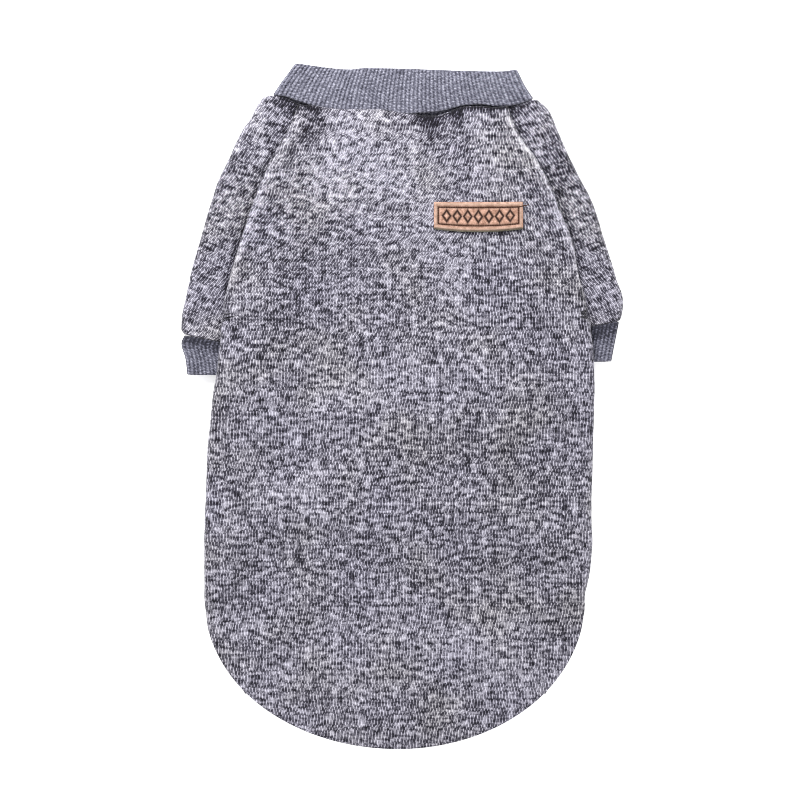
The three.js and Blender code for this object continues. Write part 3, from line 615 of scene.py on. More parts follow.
# Coated leather-look sheet, embossed with a fine grain: a dull tan sheen over soft pebbles,
# darker where it is pressed or sewn and lighter along its cut edge
def patch_leather(name):
    material, add = new_material(name)
    place = add("TexCoord", out="Object")
    grain = add("TexVoronoi", links={"Vector": place, "Scale": per_100_mm(170)})
    mottled = add("TexNoise", links={"Vector": place, "Scale": per_100_mm(42), "Detail": 3.0})
    tone = add("Math", grain, 0.35, mottled, operation="MULTIPLY_ADD")
    face = add("ValToRGB", tone, stops=[(0.4, "#8a6452"), (0.65, "#b38a76"), (0.95, "#dbb09c")])
    rim = add("ValToRGB", tone, stops=[(0.4, "#a08271"), (0.95, "#c6a897")])
    cut = add("ValToRGB", tone, stops=[(0.4, "#4d4a3d"), (0.95, "#7c7767")])
    edge = add("Attribute", attribute_name="edge", out="Fac")
    side = add("Attribute", attribute_name="side", out="Fac")
    stamped = add("Attribute", attribute_name="stamped", out="Fac")
    colour = face
    for share, over in ((edge, rim), (side, cut), (stamped, srgb("#2e170c"))):
        colour = add("Mix", links={0: share, 6: colour, 7: over}, data_type="RGBA", out=2)
    bump = add("Bump", links={"Height": grain, "Strength": 0.35, "Distance": 0.2 * MM})
    add("OutputMaterial", add("BsdfPrincipled", links={
        "Base Color": colour, "Normal": bump, "Roughness": 0.62, "IOR": 1.5, "Specular IOR Level": 0.3}))
    return material


# Spun polyester sewing thread, dark brown: the eye gets thin slanted bands of painted light and shade from
# its twist
def sewing_thread(name):
    material, add = new_material(name)
    place = add("TexCoord", out="Object")
    twist = add("TexWave", links={"Vector": place, "Scale": per_100_mm(90), "Distortion": 0.5}, out="Fac")
    colour = add("ValToRGB", twist, stops=[(0.2, "#2e1b12"), (0.8, "#4f3122")])
    add("OutputMaterial", add("BsdfPrincipled", links={
        "Base Color": colour, "Roughness": 0.75, "IOR": 1.5, "Specular IOR Level": 0.2}))
    return material


# White painted board, lit a little from within so that it stays white under the sweater
def painted_floor(name):
    material, add = new_material(name)
    place = add("TexCoord", out="Object")
    speck = add("TexNoise", links={"Vector": place, "Scale": per_100_mm(3)})
    colour = add("ValToRGB", speck, stops=[(0.0, "#f6f6f6"), (1.0, "#fbfbfb")])
    add("OutputMaterial", add("BsdfPrincipled", links={
        "Base Color": colour, "Roughness": 0.8, "Emission Color": (1, 1, 1, 1), "Emission Strength": 0.5}))
    return material


# The solids' middle was moved onto the origin, so the pieces are moved by the same small step
SHIFT = np.array([0.052, 0.246, 0.0])


def finish_piece(piece, material, node):
    """Dress a piece of cloth, hide its solid and attach it to the root."""
    piece.data.materials.append(material)
    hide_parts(node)
    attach(piece, "root")
    return piece


BACK_COLUMNS = 236
BACK_NECK_ROWS = 24
BACK_BODY_ROWS = 110
BACK_FLAP_ROWS = 66
BACK_EDGE_RUN = 8  # mm inside each side's turn where the columns stay close together
BACK_EDGE_WEIGHT = 1.4  # how many times closer they are there
NECK_SWELL = 1.1  # the cloth swells this far against the collar where it isn't puckered


def turn_end(side, y):
    """How far the cloth reaches from the middle line, measured round its turned side."""
    bend = side_turn(side, np.array(y))
    return bend["start"] + bend["fold"] * bend["roll"] + bend["tail"]


def back_places(left_y, right_y):
    """Places across the back panel, from one height at its left edge to another at its right."""
    left = side_turn(SIDES["left"], np.array(left_y))
    right = side_turn(SIDES["right"], np.array(right_y))
    ends = [turn_end(SIDES["left"], left_y), turn_end(SIDES["right"], right_y)]
    stretches = [
        (ends[0] - left["start"] + BACK_EDGE_RUN, BACK_EDGE_WEIGHT),
        (left["start"] + right["start"] - 2 * BACK_EDGE_RUN, 1),
        (ends[1] - right["start"] + BACK_EDGE_RUN, BACK_EDGE_WEIGHT),
    ]
    return spread(stretches, np.linspace(0, 1, BACK_COLUMNS + 1)) - ends[0]


def back_grid():
    """The back panel's points, their places on the flat cloth and how far each is from a side seam."""
    rows = [("neck", t) for t in np.linspace(1, 0, BACK_NECK_ROWS, endpoint=False)]
    rows += [("body", y) for y in np.linspace(NECK_ROWS_END_Y, BELLY_HEM_Y, BACK_BODY_ROWS, endpoint=False)]
    rows += [("flap", y) for y in np.linspace(BELLY_HEM_Y, FLAP_CORNER_Y, BACK_FLAP_ROWS)]
    face, uv, from_seam = [], [], []
    for kind, value in rows:
        left_y = mix(NECK_ROWS_END_Y, NECK_CORNERS["left"], value) if kind == "neck" else value
        right_y = mix(NECK_ROWS_END_Y, NECK_CORNERS["right"], value) if kind == "neck" else value
        place = back_places(left_y, right_y)
        across = (place - place[0]) / (place[-1] - place[0])
        y = mix(left_y, right_y, across)
        if kind == "neck":
            x = back_form(place, y)[..., 0]
            swell = NECK_SWELL * (1 - np.minimum(1, puckered("gap", x)))
            y = mix(NECK_ROWS_END_Y, neck_edge(x) + swell, value)
            place = np.array([back_places(at, at)[column] for column, at in enumerate(y)])
        if kind == "flap":
            weight = ease((BELLY_HEM_Y - value) / (BELLY_HEM_Y - FLAP_CORNER_Y))
            corner = np.array(FLAP_CORNER_Y)
            last_x = mix(-edge_at(SIDES["left"], corner), edge_at(SIDES["right"], corner), across)
            y = y + weight * (hem_y(last_x) - FLAP_CORNER_Y)
        face.append(back_form(place, y))
        uv.append(np.stack([place, y], axis=-1) * MM)
        ends = [turn_end(side, y) for side in SIDES.values()]
        from_seam.append(np.minimum(place + ends[0], ends[1] - place))
    return np.array(face), np.array(uv), np.array(from_seam)


# Low relief in mm, and how much painted highlight or painted shade the material shows with it
WELTS = {
    "left": {"inside": 3.4, "width": 2.3, "rise": 0.75, "light": 1.2},
    "right": {"inside": 2.2, "width": 1.3, "rise": 0.7, "light": 2.3},
}
VALLEY = {"inside": 10.5, "width": 4.5, "rise": -0.35, "dark": 0.3}
SEAM_LINE = {"width": 0.9, "dark": 0.8}
RAGLAN_FADE = {"below": 6, "run": 30}
WELT_LUMPS = {"rise": 0.25, "light": 0.6}
NECK_ROLL = {"inside": 4, "width": 3, "rise": 0.4, "light": 0.5}
FOLD_LIGHT = 0.9
PATCH_SHADOW = {"below": 0.3, "width": 1.3, "dark": 2.4}

# How far a stroke of yarn leans in its row, in wales, and where that changes across and up the back
LEAN = {"top_left": 0.66, "top_right": -0.55, "lower": 0.15, "plain": 0.42}
LEAN_CHANGE = {"x": 20, "across": 60, "y": 10, "up": 100}

# Painted shade: places darker than their form alone would make them, and painted highlight where the depth is
# negative
SHADES = table(
    "x y wide tall depth",
    (15.5, 166, 9, 5.5, 5), (31, 168, 4.5, 5.5, 4.5), (48, 170.6, 19, 3, 4.5), (-54, 171.3, 7, 4.5, 4.5),
    (92, 134, 6, 26, 0.7),
    (-80.5, 153, 4, 18, -1.2), (-75.5, 149, 3.5, 12, 1.3), (-65, 174, 6, 3.5, 3),
    (-5, 138, 75, 34, -0.55), (30, 105, 28, 16, -0.3), (-35, 138, 14, 16, -0.5), (17, 157, 4, 8, 1.0),
    (33, 160, 4, 7, 1.1), (38, 146, 4, 9, 0.8), (-24, 158, 6, 7, 0.6),
)


def shade_at(x, y):
    """How much painted shade the cloth gets in its creases, and painted highlight where it stands up."""
    total = np.zeros_like(x)
    for at_x, at_y, wide, tall, depth in zip(*SHADES.values()):
        total += depth * bell((x - at_x) / wide) * bell((y - at_y) / tall)
    return total


def patch_shadow(x, y):
    """The painted shadow line under the lower edge of the patch."""
    across = (x - PATCH["x"]) * 2 / PATCH["width"]
    edge = PATCH["y"] - PATCH["height"] / 2 - PATCH["dip"] * (1 - across ** 2)
    line = bell((y - edge + PATCH_SHADOW["below"]) / PATCH_SHADOW["width"])
    return PATCH_SHADOW["dark"] * line * (np.abs(across) < 1)


def make_back_panel(material):
    face, uv, from_seam = back_grid()
    x, y = face[..., 0], face[..., 1]
    on_raglan = ease((y - UNDERARM_Y + RAGLAN_FADE["below"]) / RAGLAN_FADE["run"])
    beside = {key: np.where(x < 0, WELTS["left"][key], WELTS["right"][key]) for key in WELTS["left"]}
    welt = bell((from_seam - beside["inside"]) / beside["width"]) * on_raglan
    valley = bell((from_seam - VALLEY["inside"]) / VALLEY["width"]) * on_raglan
    seam = bell(from_seam / SEAM_LINE["width"]) * on_raglan
    at_neck = bell((neck_back(x) - y - NECK_ROLL["inside"]) / NECK_ROLL["width"])
    lumps = uneven(face, size=6, rise=1, seed=2.2)

    relief = welt * (beside["rise"] + WELT_LUMPS["rise"] * lumps)
    relief += valley * VALLEY["rise"] + at_neck * NECK_ROLL["rise"]
    relief += uneven(face, size=9, rise=0.3, seed=1.3) + uneven(face, size=24, rise=0.6, seed=4.1)
    # Painted light and shade: lighter on the welts, their lumps, the neck's roll and fold ridges; darker in
    # the seam's crease, the valley, fold troughs, the listed shades and under the patch
    painted_shading = welt * (beside["light"] + WELT_LUMPS["light"] * lumps)
    painted_shading += at_neck * NECK_ROLL["light"] - seam * SEAM_LINE["dark"] - valley * VALLEY["dark"]
    painted_shading += fold_rise(x, y, FOLDS) * FOLD_LIGHT - shade_at(x, y) - patch_shadow(x, y)

    to_right = ease((x - LEAN_CHANGE["x"]) / LEAN_CHANGE["across"])
    upwards = ease((y - LEAN_CHANGE["y"]) / LEAN_CHANGE["up"])
    lean = mix(LEAN["lower"], mix(LEAN["top_left"], LEAN["top_right"], to_right), upwards)
    marks = {"painted_shading": painted_shading, "lean": lean}
    piece = shell("back_panel_knit", face + SHIFT, CLOTH, uv, relief=relief, marks=marks)
    return finish_piece(piece, material, "back_panel")


BELLY_NECK = {"half": 45, "y": 162.5, "bow": 0.85}
BELLY_ROOM = {"side": 0.35, "neck": 0.3}  # mm that the belly panel ends short of its seams
LIFT = {"run": 26, "start_y": 58, "length": 11}


def belly_half(side, y):
    underarm = edge_at(side, np.array(UNDERARM_Y)) - SEAM_INSET
    up = np.clip((BELLY_NECK["y"] - y) / (BELLY_NECK["y"] - UNDERARM_Y), 0, 1)
    to_underarm = mix(BELLY_NECK["half"], underarm, up ** BELLY_NECK["bow"])
    return np.where(y < UNDERARM_Y, edge_at(side, y) - SEAM_INSET, to_underarm)


def belly_height(x, y):
    half = np.where(x < 0, belly_half(SIDES["left"], y), belly_half(SIDES["right"], y))
    at_seam = TURN["rim"](np.minimum(y, TAIL_Y)) * ease((LIFT["start_y"] - y) / LIFT["length"])
    return at_seam * (1 - ease((half - np.abs(x)) / LIFT["run"]))


BELLY_ROWS = 120
BELLY_COLUMNS = 80
BELLY_ROWS_END_Y = 130


def make_belly_panel(material):
    face, uv = [], []
    across = np.linspace(1, -1, BELLY_COLUMNS + 1)
    for edge_y in np.linspace(BELLY_NECK["y"], BELLY_HEM_Y, BELLY_ROWS + 1):
        left = BELLY_ROOM["side"] - belly_half(SIDES["left"], np.array(edge_y))
        right = belly_half(SIDES["right"], np.array(edge_y)) - BELLY_ROOM["side"]
        x = mix(left, right, (across + 1) / 2)
        share = (edge_y - BELLY_ROWS_END_Y) / (BELLY_NECK["y"] - BELLY_ROWS_END_Y)
        neck_y = mix(BELLY_ROWS_END_Y, neck_front(x) - BELLY_ROOM["neck"], share)
        y = neck_y if share > 0 else np.full_like(x, edge_y)
        face.append(np.stack([x, y, belly_height(x, y)], axis=-1))
        uv.append(np.stack([x, y], axis=-1) * MM)
    face, uv = np.array(face), np.array(uv)
    lean = np.full(face.shape[:2], LEAN["plain"])
    piece = shell("belly_panel_knit", face + SHIFT, CLOTH, uv, marks={"lean": lean})
    return finish_piece(piece, material, "belly_panel")


SLEEVES = {
    "left": {
        "side": SIDES["left"],
        "outer": table(
            "y x",
            (177.9, 76), (174, 80.4), (170.1, 82.8), (163.3, 86), (157.6, 90), (142.2, 97.6), (129.1, 104),
            (106.3, 111.4), (83.5, 117.7), (60.7, 122.9), (49.3, 125.1), (43.6, 125.7), (40.6, 123.6),
        ),
        "neck": {"top": NECK_CORNERS["left"], "outer": 176.6, "front": BELLY_NECK["y"]},
        "underarm": {"top": UNDERARM_Y, "outer": 57, "front": UNDERARM_Y},
    },
    "right": {
        "side": SIDES["right"],
        "outer": table(
            "y x",
            (176, 75.3), (167.9, 84.2), (158.7, 87.9), (151.9, 90.9), (140.5, 96), (129.1, 101.8),
            (117.7, 107.4), (94.9, 115.2), (83.5, 119), (72.1, 122.5), (60.7, 125.5), (51, 124.8),
            (48.6, 123.9),
        ),
        "neck": {"top": NECK_CORNERS["right"], "outer": 174.7, "front": BELLY_NECK["y"]},
        "underarm": {"top": UNDERARM_Y, "outer": 60, "front": UNDERARM_Y},
    },
}

# Rings of each cuff from the sleeve down: how far from the middle line its outer and inner ends
# lie, and where on the length of the body
CUFFS = {
    "left": table(
        "outer inner outer_y inner_y",
        (122.9, 77, 40.1, 31.5), (124.8, 77.6, 35.8, 28.8), (122.5, 76.8, 27, 23),
        (121.4, 75.8, 17.9, 17.6),
    ),
    "right": table(
        "outer inner outer_y inner_y",
        (123.2, 77.5, 48.2, 39.5), (121.7, 76.6, 40.5, 35), (120.3, 75.4, 33.5, 30.5),
        (118.8, 74.5, 25.5, 25.3),
    ),
}

# Sections of a sleeve: from where to where, and how many
SLEEVE_ROWS = ((0, 0.85, 74), (0.85, 1.15, 26), (1.15, 2, 16))
SLEEVE_COLUMNS = 130
SLEEVE_WEIGHTS = (1.5, 1, 1.6, 0.6, 1.5)  # how close the columns are on each stretch round it
SLEEVE_GRAIN = -16  # degrees between the sleeve's stitches and the body's, outwards
# The trough beside the body's seam: width and depth in mm, and how much painted shade lies in it
SLEEVE_TROUGH = {"width": 3.2, "depth": 0.7, "dark": 0.9}
SLEEVE_CLOSING = {"start": 0.94, "run": 0.2}  # where it turns from an open strip to a tube
SLEEVE_NARROWING = {"start": 0.86, "run": 0.16}
SLEEVE_FRONT_ROOM = 0.15
SLEEVE_FLAT = {"from_inner": 4, "to_fold": 6}  # mm at least beside the stretch that rises
SLEEVE_NECK_SHARE = 0.31  # the part of the way to the underarm that bends to the neck line
FOLD_FADE = 4
SLEEVE_UPPER = {"relief": 3, "shade": 4}  # mm above the floor where each is full


def sleeve_ring(inner, front, out, turned, rise_from):
    """Points round a section: a rolled edge, the top, the outer fold, the underside, a rolled edge."""
    small = SLEEVE["height"] / 2
    large = SLEEVE["fold_height"] / 2
    top_start = inner + small * math.sin(turned)
    front_end = front + small * math.sin(turned)
    fold_at = out - large
    roll = small * turned
    lengths = [roll, fold_at - top_start, large * math.pi, fold_at - front_end, roll]
    s = spread(list(zip(lengths, SLEEVE_WEIGHTS)), np.linspace(0, 1, SLEEVE_COLUMNS + 1))
    ends = np.cumsum(lengths)
    x = np.zeros_like(s)
    z = np.zeros_like(s)
    first = s < ends[0]
    strip = (s >= ends[0]) & (s < ends[1])
    fold = (s >= ends[1]) & (s < ends[2])
    under = (s >= ends[2]) & (s < ends[3])
    last = s >= ends[3]
    angle = turned - s[first] / small
    x[first], z[first] = top_start - small * np.sin(angle), small * (1 + np.cos(angle))
    x[strip] = top_start + s[strip] - ends[0]
    risen = ease((x[strip] - rise_from) / (fold_at - rise_from))
    z[strip] = mix(SLEEVE["height"], SLEEVE["fold_height"], risen)
    angle = (s[fold] - ends[1]) / large
    x[fold], z[fold] = fold_at + large * np.sin(angle), large * (1 + np.cos(angle))
    x[under] = fold_at - (s[under] - ends[2])
    angle = (s[last] - ends[3]) / small
    x[last], z[last] = front_end - small * np.sin(angle), small * (1 - np.cos(angle))
    return x, z, strip, top_start + s - ends[0]


def sleeve_section(sleeve, end, outer_x, at):
    """One section of a sleeve, from the neck (0) by the underarm (1) to the cuff (2)."""
    side = sleeve["side"]
    start, stop = (sleeve["neck"], sleeve["underarm"]) if at < 1 else (sleeve["underarm"], end)
    share = at if at < 1 else at - 1
    y = {name: np.array(mix(start[name], stop[name], share)) for name in ("top", "outer", "front")}
    closing = ease((at - SLEEVE_CLOSING["start"]) / SLEEVE_CLOSING["run"])
    narrowing = ease((at - SLEEVE_NARROWING["start"]) / SLEEVE_NARROWING["run"])
    inner = mix(edge_at(side, y["top"]) - SLEEVE["tuck"], SLEEVE["inner"], narrowing)
    front = mix(belly_half(side, y["front"]) + SLEEVE_FRONT_ROOM, SLEEVE["inner"], closing)
    out = outer_x(y["outer"])
    fold_at = out - SLEEVE["fold_height"] / 2
    rise_from = max(edge_at(side, y["top"]), inner + SLEEVE_FLAT["from_inner"])
    rise_from = min(rise_from, fold_at - SLEEVE_FLAT["to_fold"])
    turned = math.radians(SLEEVE["close"]) * closing
    x, z, strip, flat_x = sleeve_ring(inner, front, out, turned, rise_from)

    # Along the sleeve: each point's height on the body, bent to the neck line near the collar
    over = np.clip((x - inner) / (out - inner), 0, 1)
    below = np.clip((x - front) / (out - front), 0, 1)
    to_neck = np.clip(1 - at / SLEEVE_NECK_SHARE, 0, 1)
    neck = sleeve["neck"]
    neck_outer = outer_x(np.array(neck["outer"]))
    neck_inner = edge_at(side, np.array(neck["top"])) - SLEEVE["tuck"]
    neck_below = belly_half(side, np.array(neck["front"]))
    over_y = neck_edge(side["sign"] * mix(neck_inner, neck_outer, over))
    under_y = neck_front(side["sign"] * mix(neck_below, neck_outer, below)) - SEAM_ROOM
    upper_y = mix(y["top"], y["outer"], over)
    upper_y += to_neck * (over_y - mix(neck["top"], neck["outer"], over))
    lower_y = mix(y["front"], y["outer"], below)
    lower_y += to_neck * (under_y - mix(neck["front"], neck["outer"], below))
    along = mix(lower_y, upper_y, ease(z / SLEEVE["height"]))
    free = ease((x - rise_from) / FOLD_FADE) * ease((fold_at - x) / FOLD_FADE) * strip
    z = z + free * fold_rise(side["sign"] * x, upper_y, SLEEVE_FOLDS)
    face = np.stack([side["sign"] * x, along, z], axis=-1)
    grain = math.radians(SLEEVE_GRAIN)
    u = along * math.sin(grain) - flat_x * math.cos(grain)
    v = flat_x * math.sin(grain) + along * math.cos(grain)
    uv = np.stack([u, v], axis=-1) * MM
    beside = strip * bell((x - inner - SLEEVE["tuck"]) / SLEEVE_TROUGH["width"]) * (1 - closing)
    flip = -1 if side["sign"] < 0 else 1
    return face[::flip], uv[::flip], beside[::flip]


def make_sleeve(name, material):
    sleeve, cuff = SLEEVES[name], CUFFS[name]
    outer_x = curve(sleeve["outer"]["y"], sleeve["outer"]["x"])
    inside = cuff["inner_y"][0] + SEAM_ROOM
    end = {"top": inside, "outer": cuff["outer_y"][0] + SEAM_ROOM, "front": inside}
    places = [
        place
        for start, stop, count in SLEEVE_ROWS
        for place in np.linspace(start, stop, count, endpoint=stop == SLEEVE_ROWS[-1][1])
    ]
    sections = [sleeve_section(sleeve, end, outer_x, at) for at in places]
    face, uv, beside = (np.array(part) for part in zip(*sections))
    x, y, z = face[..., 0], face[..., 1], face[..., 2]
    relief = uneven(face, size=8, rise=0.35, seed=7.7) + uneven(face, size=17, rise=0.5, seed=5.2)
    relief *= ease(z / SLEEVE_UPPER["relief"])
    relief -= SLEEVE_TROUGH["depth"] * beside
    # Painted shade in the trough beside the seam, and the listed painted shade and highlight on the upper
    # layer
    painted_shading = -SLEEVE_TROUGH["dark"] * beside - shade_at(x, y) * ease(z / SLEEVE_UPPER["shade"])
    marks = {"painted_shading": painted_shading, "lean": np.full(face.shape[:2], LEAN["plain"])}
    piece = shell("sleeve_" + name + "_knit", face + SHIFT, CLOTH, uv, relief=relief, marks=marks)
    return finish_piece(piece, material, "sleeve_" + name)


def tube_points(share, left, right, height):
    """Points round a flattened tube, from the middle of its left fold over the top."""
    radius = height / 2
    flat = right - left - height
    arc = math.pi * radius
    on_first = share * 2 * (flat + arc)
    on_top = on_first - arc / 2
    on_right = on_top - flat
    on_under = on_right - arc
    on_last = on_under - flat
    turned = np.clip(on_first / radius, 0, math.pi / 2)
    x = np.where(on_top < 0, left + radius * (1 - np.cos(turned)), left + radius + on_top)
    z = np.where(on_top < 0, radius * (1 + np.sin(turned)), height)
    turned = np.clip(on_right / radius, 0, math.pi)
    x = np.where(on_right > 0, right - radius * (1 - np.sin(turned)), x)
    z = np.where(on_right > 0, radius * (1 + np.cos(turned)), z)
    x = np.where(on_under > 0, right - radius - on_under, x)
    z = np.where(on_under > 0, 0, z)
    turned = np.clip(on_last / radius, 0, math.pi / 2)
    x = np.where(on_last > 0, left + radius * (1 - np.sin(turned)), x)
    z = np.where(on_last > 0, radius * (1 - np.cos(turned)), z)
    return x, z


RIB_RISE = 0.55  # mm that a rib stands above its grooves
RIB_COLUMNS = 8  # points across a rib


def rib_lift(columns):
    """How far each column stands proud: round ridges with narrow grooves."""
    return RIB_RISE * np.sqrt(np.abs(np.cos(math.pi * np.arange(columns) / RIB_COLUMNS)))


COLLAR_ENDS = curves(table(
    "up left right",
    (0, -72.7, 74.4), (0.42, -67.6, 69.9), (0.7, -63.8, 67.5), (0.9, -61.2, 66.1), (1, -59.4, 64.9),
), "up")
collar_top = curve(
    (-59.4, -50, -29.4, -20.8, 0, 40, 56, 64.9),
    (194.9, 193.4, 191.4, 192.2, 191.8, 190.4, 190.2, 191.2),
)
COLLAR_FRONT_DROP = 3.5  # mm that the front of the collar lies below its back
COLLAR_LEVELS = 26


def make_collar(material):
    columns = COLLAR["ribs"] * RIB_COLUMNS
    share = np.arange(columns) / columns
    left_0, right_0 = COLLAR_ENDS["left"](0.0), COLLAR_ENDS["right"](0.0)
    left_1, right_1 = COLLAR_ENDS["left"](1.0), COLLAR_ENDS["right"](1.0)
    face, uv = [], []
    for up in np.linspace(1, 0, COLLAR_LEVELS):
        left, right = COLLAR_ENDS["left"](up), COLLAR_ENDS["right"](up)
        puff = math.sin(math.pi * up) * (COLLAR["middle_height"] - COLLAR["seam_height"])
        height = mix(COLLAR["seam_height"], COLLAR["top_height"], up) + puff
        x, z = tube_points(share, left, right, height)
        across = (x - left) / (right - left)
        top_back = collar_top(mix(left_1, right_1, across))
        top_front = top_back - COLLAR_FRONT_DROP * 4 * across * (1 - across)
        seam_x = mix(left_0, right_0, across)
        behind = ease(z / height)
        seam_y = mix(neck_front(seam_x), neck_back(seam_x), behind)
        y = mix(seam_y, mix(top_front, top_back, behind), up)
        face.append(np.stack([x, y, z], axis=-1))
        uv.append(np.stack([share * COLLAR["ribs"] + 0.5, y * MM], axis=-1))
    face, uv = np.array(face), np.array(uv)
    relief = np.broadcast_to(rib_lift(columns), face.shape[:2])
    piece = shell("collar_rib", face + SHIFT, RIB_CLOTH, uv, closed=True, relief=relief,
                  period=COLLAR["ribs"])
    return finish_piece(piece, material, "collar")


CUFF_LEVELS = 22
CUFF_PLACES = (0, 0.19, 0.57, 1)  # how far down the cuff each row of its table is
CUFF_SHADE = {"sleeve": 1.5, "reach": 0.45, "all": 0.15}  # painted shade under the sleeve's end, and a little over all the cuff


def make_cuff(name, material):
    sign = SIDES[name]["sign"]
    rings = CUFFS[name]
    level = {key: curve(CUFF_PLACES, rings[key]) for key in rings}
    columns = CUFF["ribs"] * RIB_COLUMNS
    share = np.arange(columns) / columns
    face, uv, shade = [], [], []
    for down in np.linspace(0, 1, CUFF_LEVELS):
        ring = {key: level[key](down) for key in level}
        ends = sorted([sign * ring["inner"], sign * ring["outer"]])
        x, z = tube_points(share, ends[0], ends[1], CUFF["height"])
        across = (np.abs(x) - ring["inner"]) / (ring["outer"] - ring["inner"])
        puffed = ease((across - CUFF["puff_from"]) / CUFF["puff_run"])
        z = z + CUFF["puff"] * puffed * z / CUFF["height"]
        y = mix(ring["inner_y"], ring["outer_y"], across)
        face.append(np.stack([x, y, z], axis=-1))
        uv.append(np.stack([share * CUFF["ribs"] + 0.5, y * MM], axis=-1))
        # Painted shade, darkest under the sleeve's end
        under_sleeve = 1 - ease(down / CUFF_SHADE["reach"])
        shade.append(np.full(columns, -CUFF_SHADE["sleeve"] * under_sleeve - CUFF_SHADE["all"]))
    face, uv, shade = np.array(face), np.array(uv), np.array(shade)
    relief = np.broadcast_to(rib_lift(columns), face.shape[:2])
    piece = shell("cuff_" + name + "_rib", face + SHIFT, RIB_CLOTH, uv, closed=True, relief=relief,
                  period=CUFF["ribs"], marks={"painted_shading": shade})
    return finish_piece(piece, material, "cuff_" + name)


PATCH_CLEARANCE = 0.6  # mm between the patch and the back panel's form
PATCH_STEP = 0.2  # mm from one point of its face to the next
PATCH_BEVEL = {"run": 1.0, "drop": 0.35, "side": 1.1, "side_drop": 0.5}
PATCH_RIM = {"inside": 1, "width": 0.7}
PATCH_DARK = {"stamped": 1.2, "sewn": 0.8}
SEWN = {"side": 2.2, "top": 2.6, "bottom": 3.0, "width": 0.7, "drop": 0.3}
LOZENGES = {"count": 7, "pitch": 6, "half_wide": 2.2, "half_tall": 2.9, "line": 0.68, "drop": 0.25, "up": 0.2}


def patch_form(right, down, out):
    """Points that far above the patch's place on the back, from places on the patch."""
    share = 0.5 + down / PATCH["height"]
    bowed = down + share * PATCH["dip"] * (1 - (2 * right / PATCH["width"]) ** 2)
    points = back_form(PATCH["x"] + right, PATCH["y"] - bowed)
    points[..., 2] += out
    return points


def patch_lines(right, down):
    """How near each place is to the row of sewing, and to the outlines of the lozenges."""
    half_w, half_h = PATCH["width"] / 2, PATCH["height"] / 2
    from_side = half_w - SEWN["side"] - np.abs(right)
    from_end = np.minimum(down + half_h - SEWN["top"], half_h - SEWN["bottom"] - down)
    sewn = bell(np.minimum(from_side, from_end) / SEWN["width"])
    last = LOZENGES["count"] // 2
    column = np.clip(np.round(right / LOZENGES["pitch"]), -last, last)
    half_wide, half_tall = LOZENGES["half_wide"], LOZENGES["half_tall"]
    wide = np.abs(right - column * LOZENGES["pitch"]) / half_wide
    tall = np.abs(down + LOZENGES["up"]) / half_tall
    away = (wide + tall - 1) * half_wide * half_tall / math.hypot(half_wide, half_tall)
    return sewn, bell(away / LOZENGES["line"])


def make_patch(material):
    half_w, half_h = PATCH["width"] / 2, PATCH["height"] / 2
    right, down = np.meshgrid(
        np.linspace(-half_w, half_w, round(PATCH["width"] / PATCH_STEP) + 1),
        np.linspace(-half_h, half_h, round(PATCH["height"] / PATCH_STEP) + 1),
    )
    face = patch_form(right, down, PATCH_CLEARANCE + PATCH["thick"])
    from_edge = np.minimum(half_w - np.abs(right), half_h - np.abs(down))
    side = 1 - ease((half_h - down) / PATCH_BEVEL["side"])
    sewn, stamped = patch_lines(right, down)
    relief = -PATCH_BEVEL["drop"] * (1 - ease(from_edge / PATCH_BEVEL["run"]))
    relief -= PATCH_BEVEL["side_drop"] * side + SEWN["drop"] * sewn + LOZENGES["drop"] * stamped
    uv = np.stack([right, down], axis=-1) * MM
    marks = {
        "stamped": np.minimum(1, PATCH_DARK["stamped"] * stamped + PATCH_DARK["sewn"] * sewn),
        "edge": bell((from_edge - PATCH_RIM["inside"]) / PATCH_RIM["width"]),
        "side": side,
    }
    piece = shell("patch_leather", face + SHIFT, PATCH["thick"], uv, relief=relief, marks=marks)
    return finish_piece(piece, material, "patch")


STITCH = {"pitch": 1.4, "length": 1.35, "thick": 0.62, "sunk": 0.2, "ahead": 0.3}
LOOSE_END = {"right": 5.8, "up": 1.1, "pitch": 0.7}


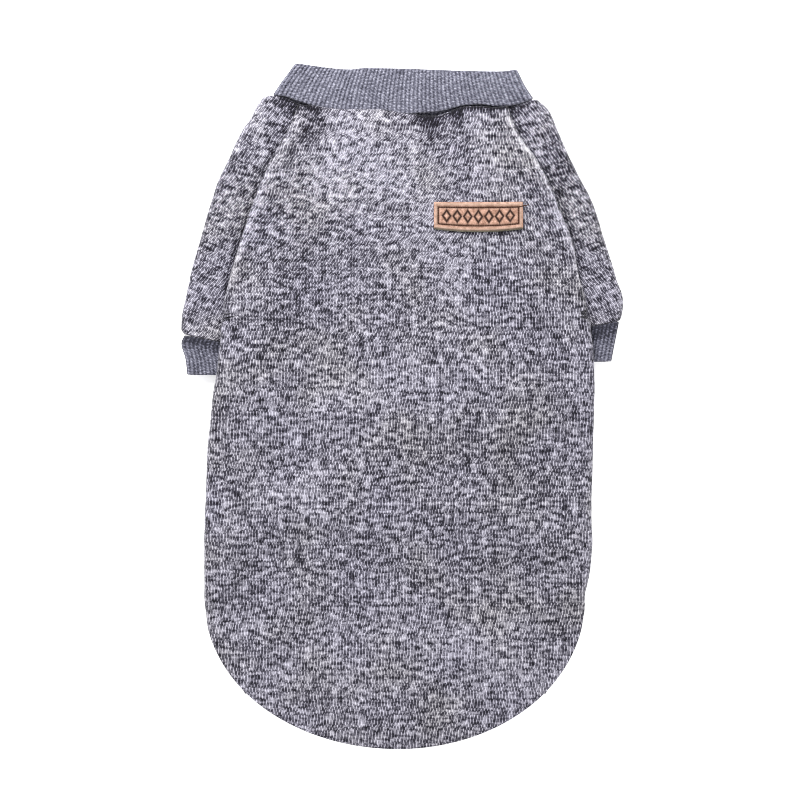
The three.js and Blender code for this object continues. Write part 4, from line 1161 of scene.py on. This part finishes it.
def make_stitches(material):
    """One stitch of thread, copied along the row of sewing and joined."""
    bpy.ops.mesh.primitive_uv_sphere_add(segments=8, ring_count=6, radius=0.5)
    model = bpy.context.active_object
    bpy.ops.object.mode_set(mode="EDIT")
    bpy.ops.mesh.select_all(action="SELECT")
    bpy.ops.transform.resize(value=(STITCH["length"] * MM, STITCH["thick"] * MM, STITCH["thick"] * MM))
    bpy.ops.mesh.select_all(action="DESELECT")
    bpy.ops.object.mode_set(mode="OBJECT")
    sewn_w = PATCH["width"] / 2 - SEWN["side"]
    top = SEWN["top"] - PATCH["height"] / 2
    bottom = PATCH["height"] / 2 - SEWN["bottom"]
    corners = [(-sewn_w, top), (sewn_w, top), (sewn_w, bottom), (-sewn_w, bottom), (-sewn_w, top)]
    lift = PATCH_CLEARANCE + PATCH["thick"] - SEWN["drop"] + STITCH["thick"] / 2 - STITCH["sunk"]
    base = np.array([vertex.co for vertex in model.data.vertices])
    polygons = [list(polygon.vertices) for polygon in model.data.polygons]
    vertices, faces = [], []
    runs = [(start, end, STITCH["pitch"]) for start, end in zip(corners, corners[1:])]
    loose = (sewn_w + LOOSE_END["right"], top - LOOSE_END["up"])
    runs.append(((sewn_w, top), loose, LOOSE_END["pitch"]))
    for start, end, pitch in runs:
        way = np.subtract(end, start)
        length = math.hypot(*way)
        count = round(length / pitch)
        for i in range(count):
            place = start + way * (i + 0.5) / count
            ahead = place + way / length * STITCH["ahead"]
            here = patch_form(place[0], place[1], lift) + SHIFT
            there = patch_form(ahead[0], ahead[1], lift) + SHIFT
            turned = Vector(there - here).to_track_quat("X", "Z").to_matrix()
            faces += [[v + len(vertices) * len(base) for v in polygon] for polygon in polygons]
            vertices.append(base @ np.array(turned).T + here * MM)
    mesh = bpy.data.meshes.new("patch_stitches")
    mesh.from_pydata(np.concatenate(vertices).tolist(), [], faces)
    mesh.shade_smooth()
    mesh.update()
    bpy.data.objects.remove(model)
    piece = bpy.data.objects.new("patch_stitches", mesh)
    bpy.context.scene.collection.objects.link(piece)
    piece.data.materials.append(material)
    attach(piece, "root")
    return piece


material_knit = knit_fleece("knit_fleece_body", 3.0)
material_rib = rib_knit("rib_knit")
material_leather = patch_leather("patch_leather")
make_back_panel(material_knit)
make_belly_panel(material_knit)
for side_name in SIDES:
    make_sleeve(side_name, material_knit)
    make_cuff(side_name, material_rib)
make_collar(material_rib)
make_patch(material_leather)
make_stitches(sewing_thread("sewing_thread"))

# Stage
bpy.ops.mesh.primitive_plane_add(size=3.0, location=(0, 0, 0))
floor = bpy.context.active_object
floor.name = "floor"
floor.data.materials.append(painted_floor("white_tabletop"))

# The photograph is taken from straight above: its middle and width on the floor, in metres
PHOTO_CENTRE = (-0.000855, 0.003705)
PHOTO_WIDTH = 0.456
CAMERA_HEIGHT = 2.2
SENSOR_WIDTH = 36
camera_data = bpy.data.cameras.new("camera")
camera_data.sensor_width = SENSOR_WIDTH
camera_data.lens = SENSOR_WIDTH * CAMERA_HEIGHT / PHOTO_WIDTH
camera_data.clip_end = 20
camera = bpy.data.objects.new("camera", camera_data)
camera.location = (*PHOTO_CENTRE, CAMERA_HEIGHT)
bpy.context.scene.collection.objects.link(camera)
bpy.context.scene.camera = camera


def area_light(name, place, aim, size, power):
    data = bpy.data.lights.new(name, "AREA")
    data.shape = "DISK"
    data.size = size
    data.energy = power
    lamp = bpy.data.objects.new(name, data)
    lamp.location = place
    lamp.rotation_euler = (Vector(aim) - Vector(place)).to_track_quat("-Z", "Y").to_euler()
    bpy.context.scene.collection.objects.link(lamp)


area_light("key_light", place=(-0.36, 0.85, 0.7), aim=(0, 0.05, 0), size=0.6, power=14.5)
area_light("fill_light", place=(0.9, -0.9, 1.6), aim=(0, 0, 0), size=1.6, power=8)
world = bpy.data.worlds.new("studio")
world.use_nodes = True
background = world.node_tree.nodes["Background"]
background.inputs["Color"].default_value = (1, 1, 1, 1)
background.inputs["Strength"].default_value = 0.68
bpy.context.scene.world = world
bpy.context.scene.view_settings.view_transform = "Standard"
bpy.context.scene.cycles.filter_width = 0.9
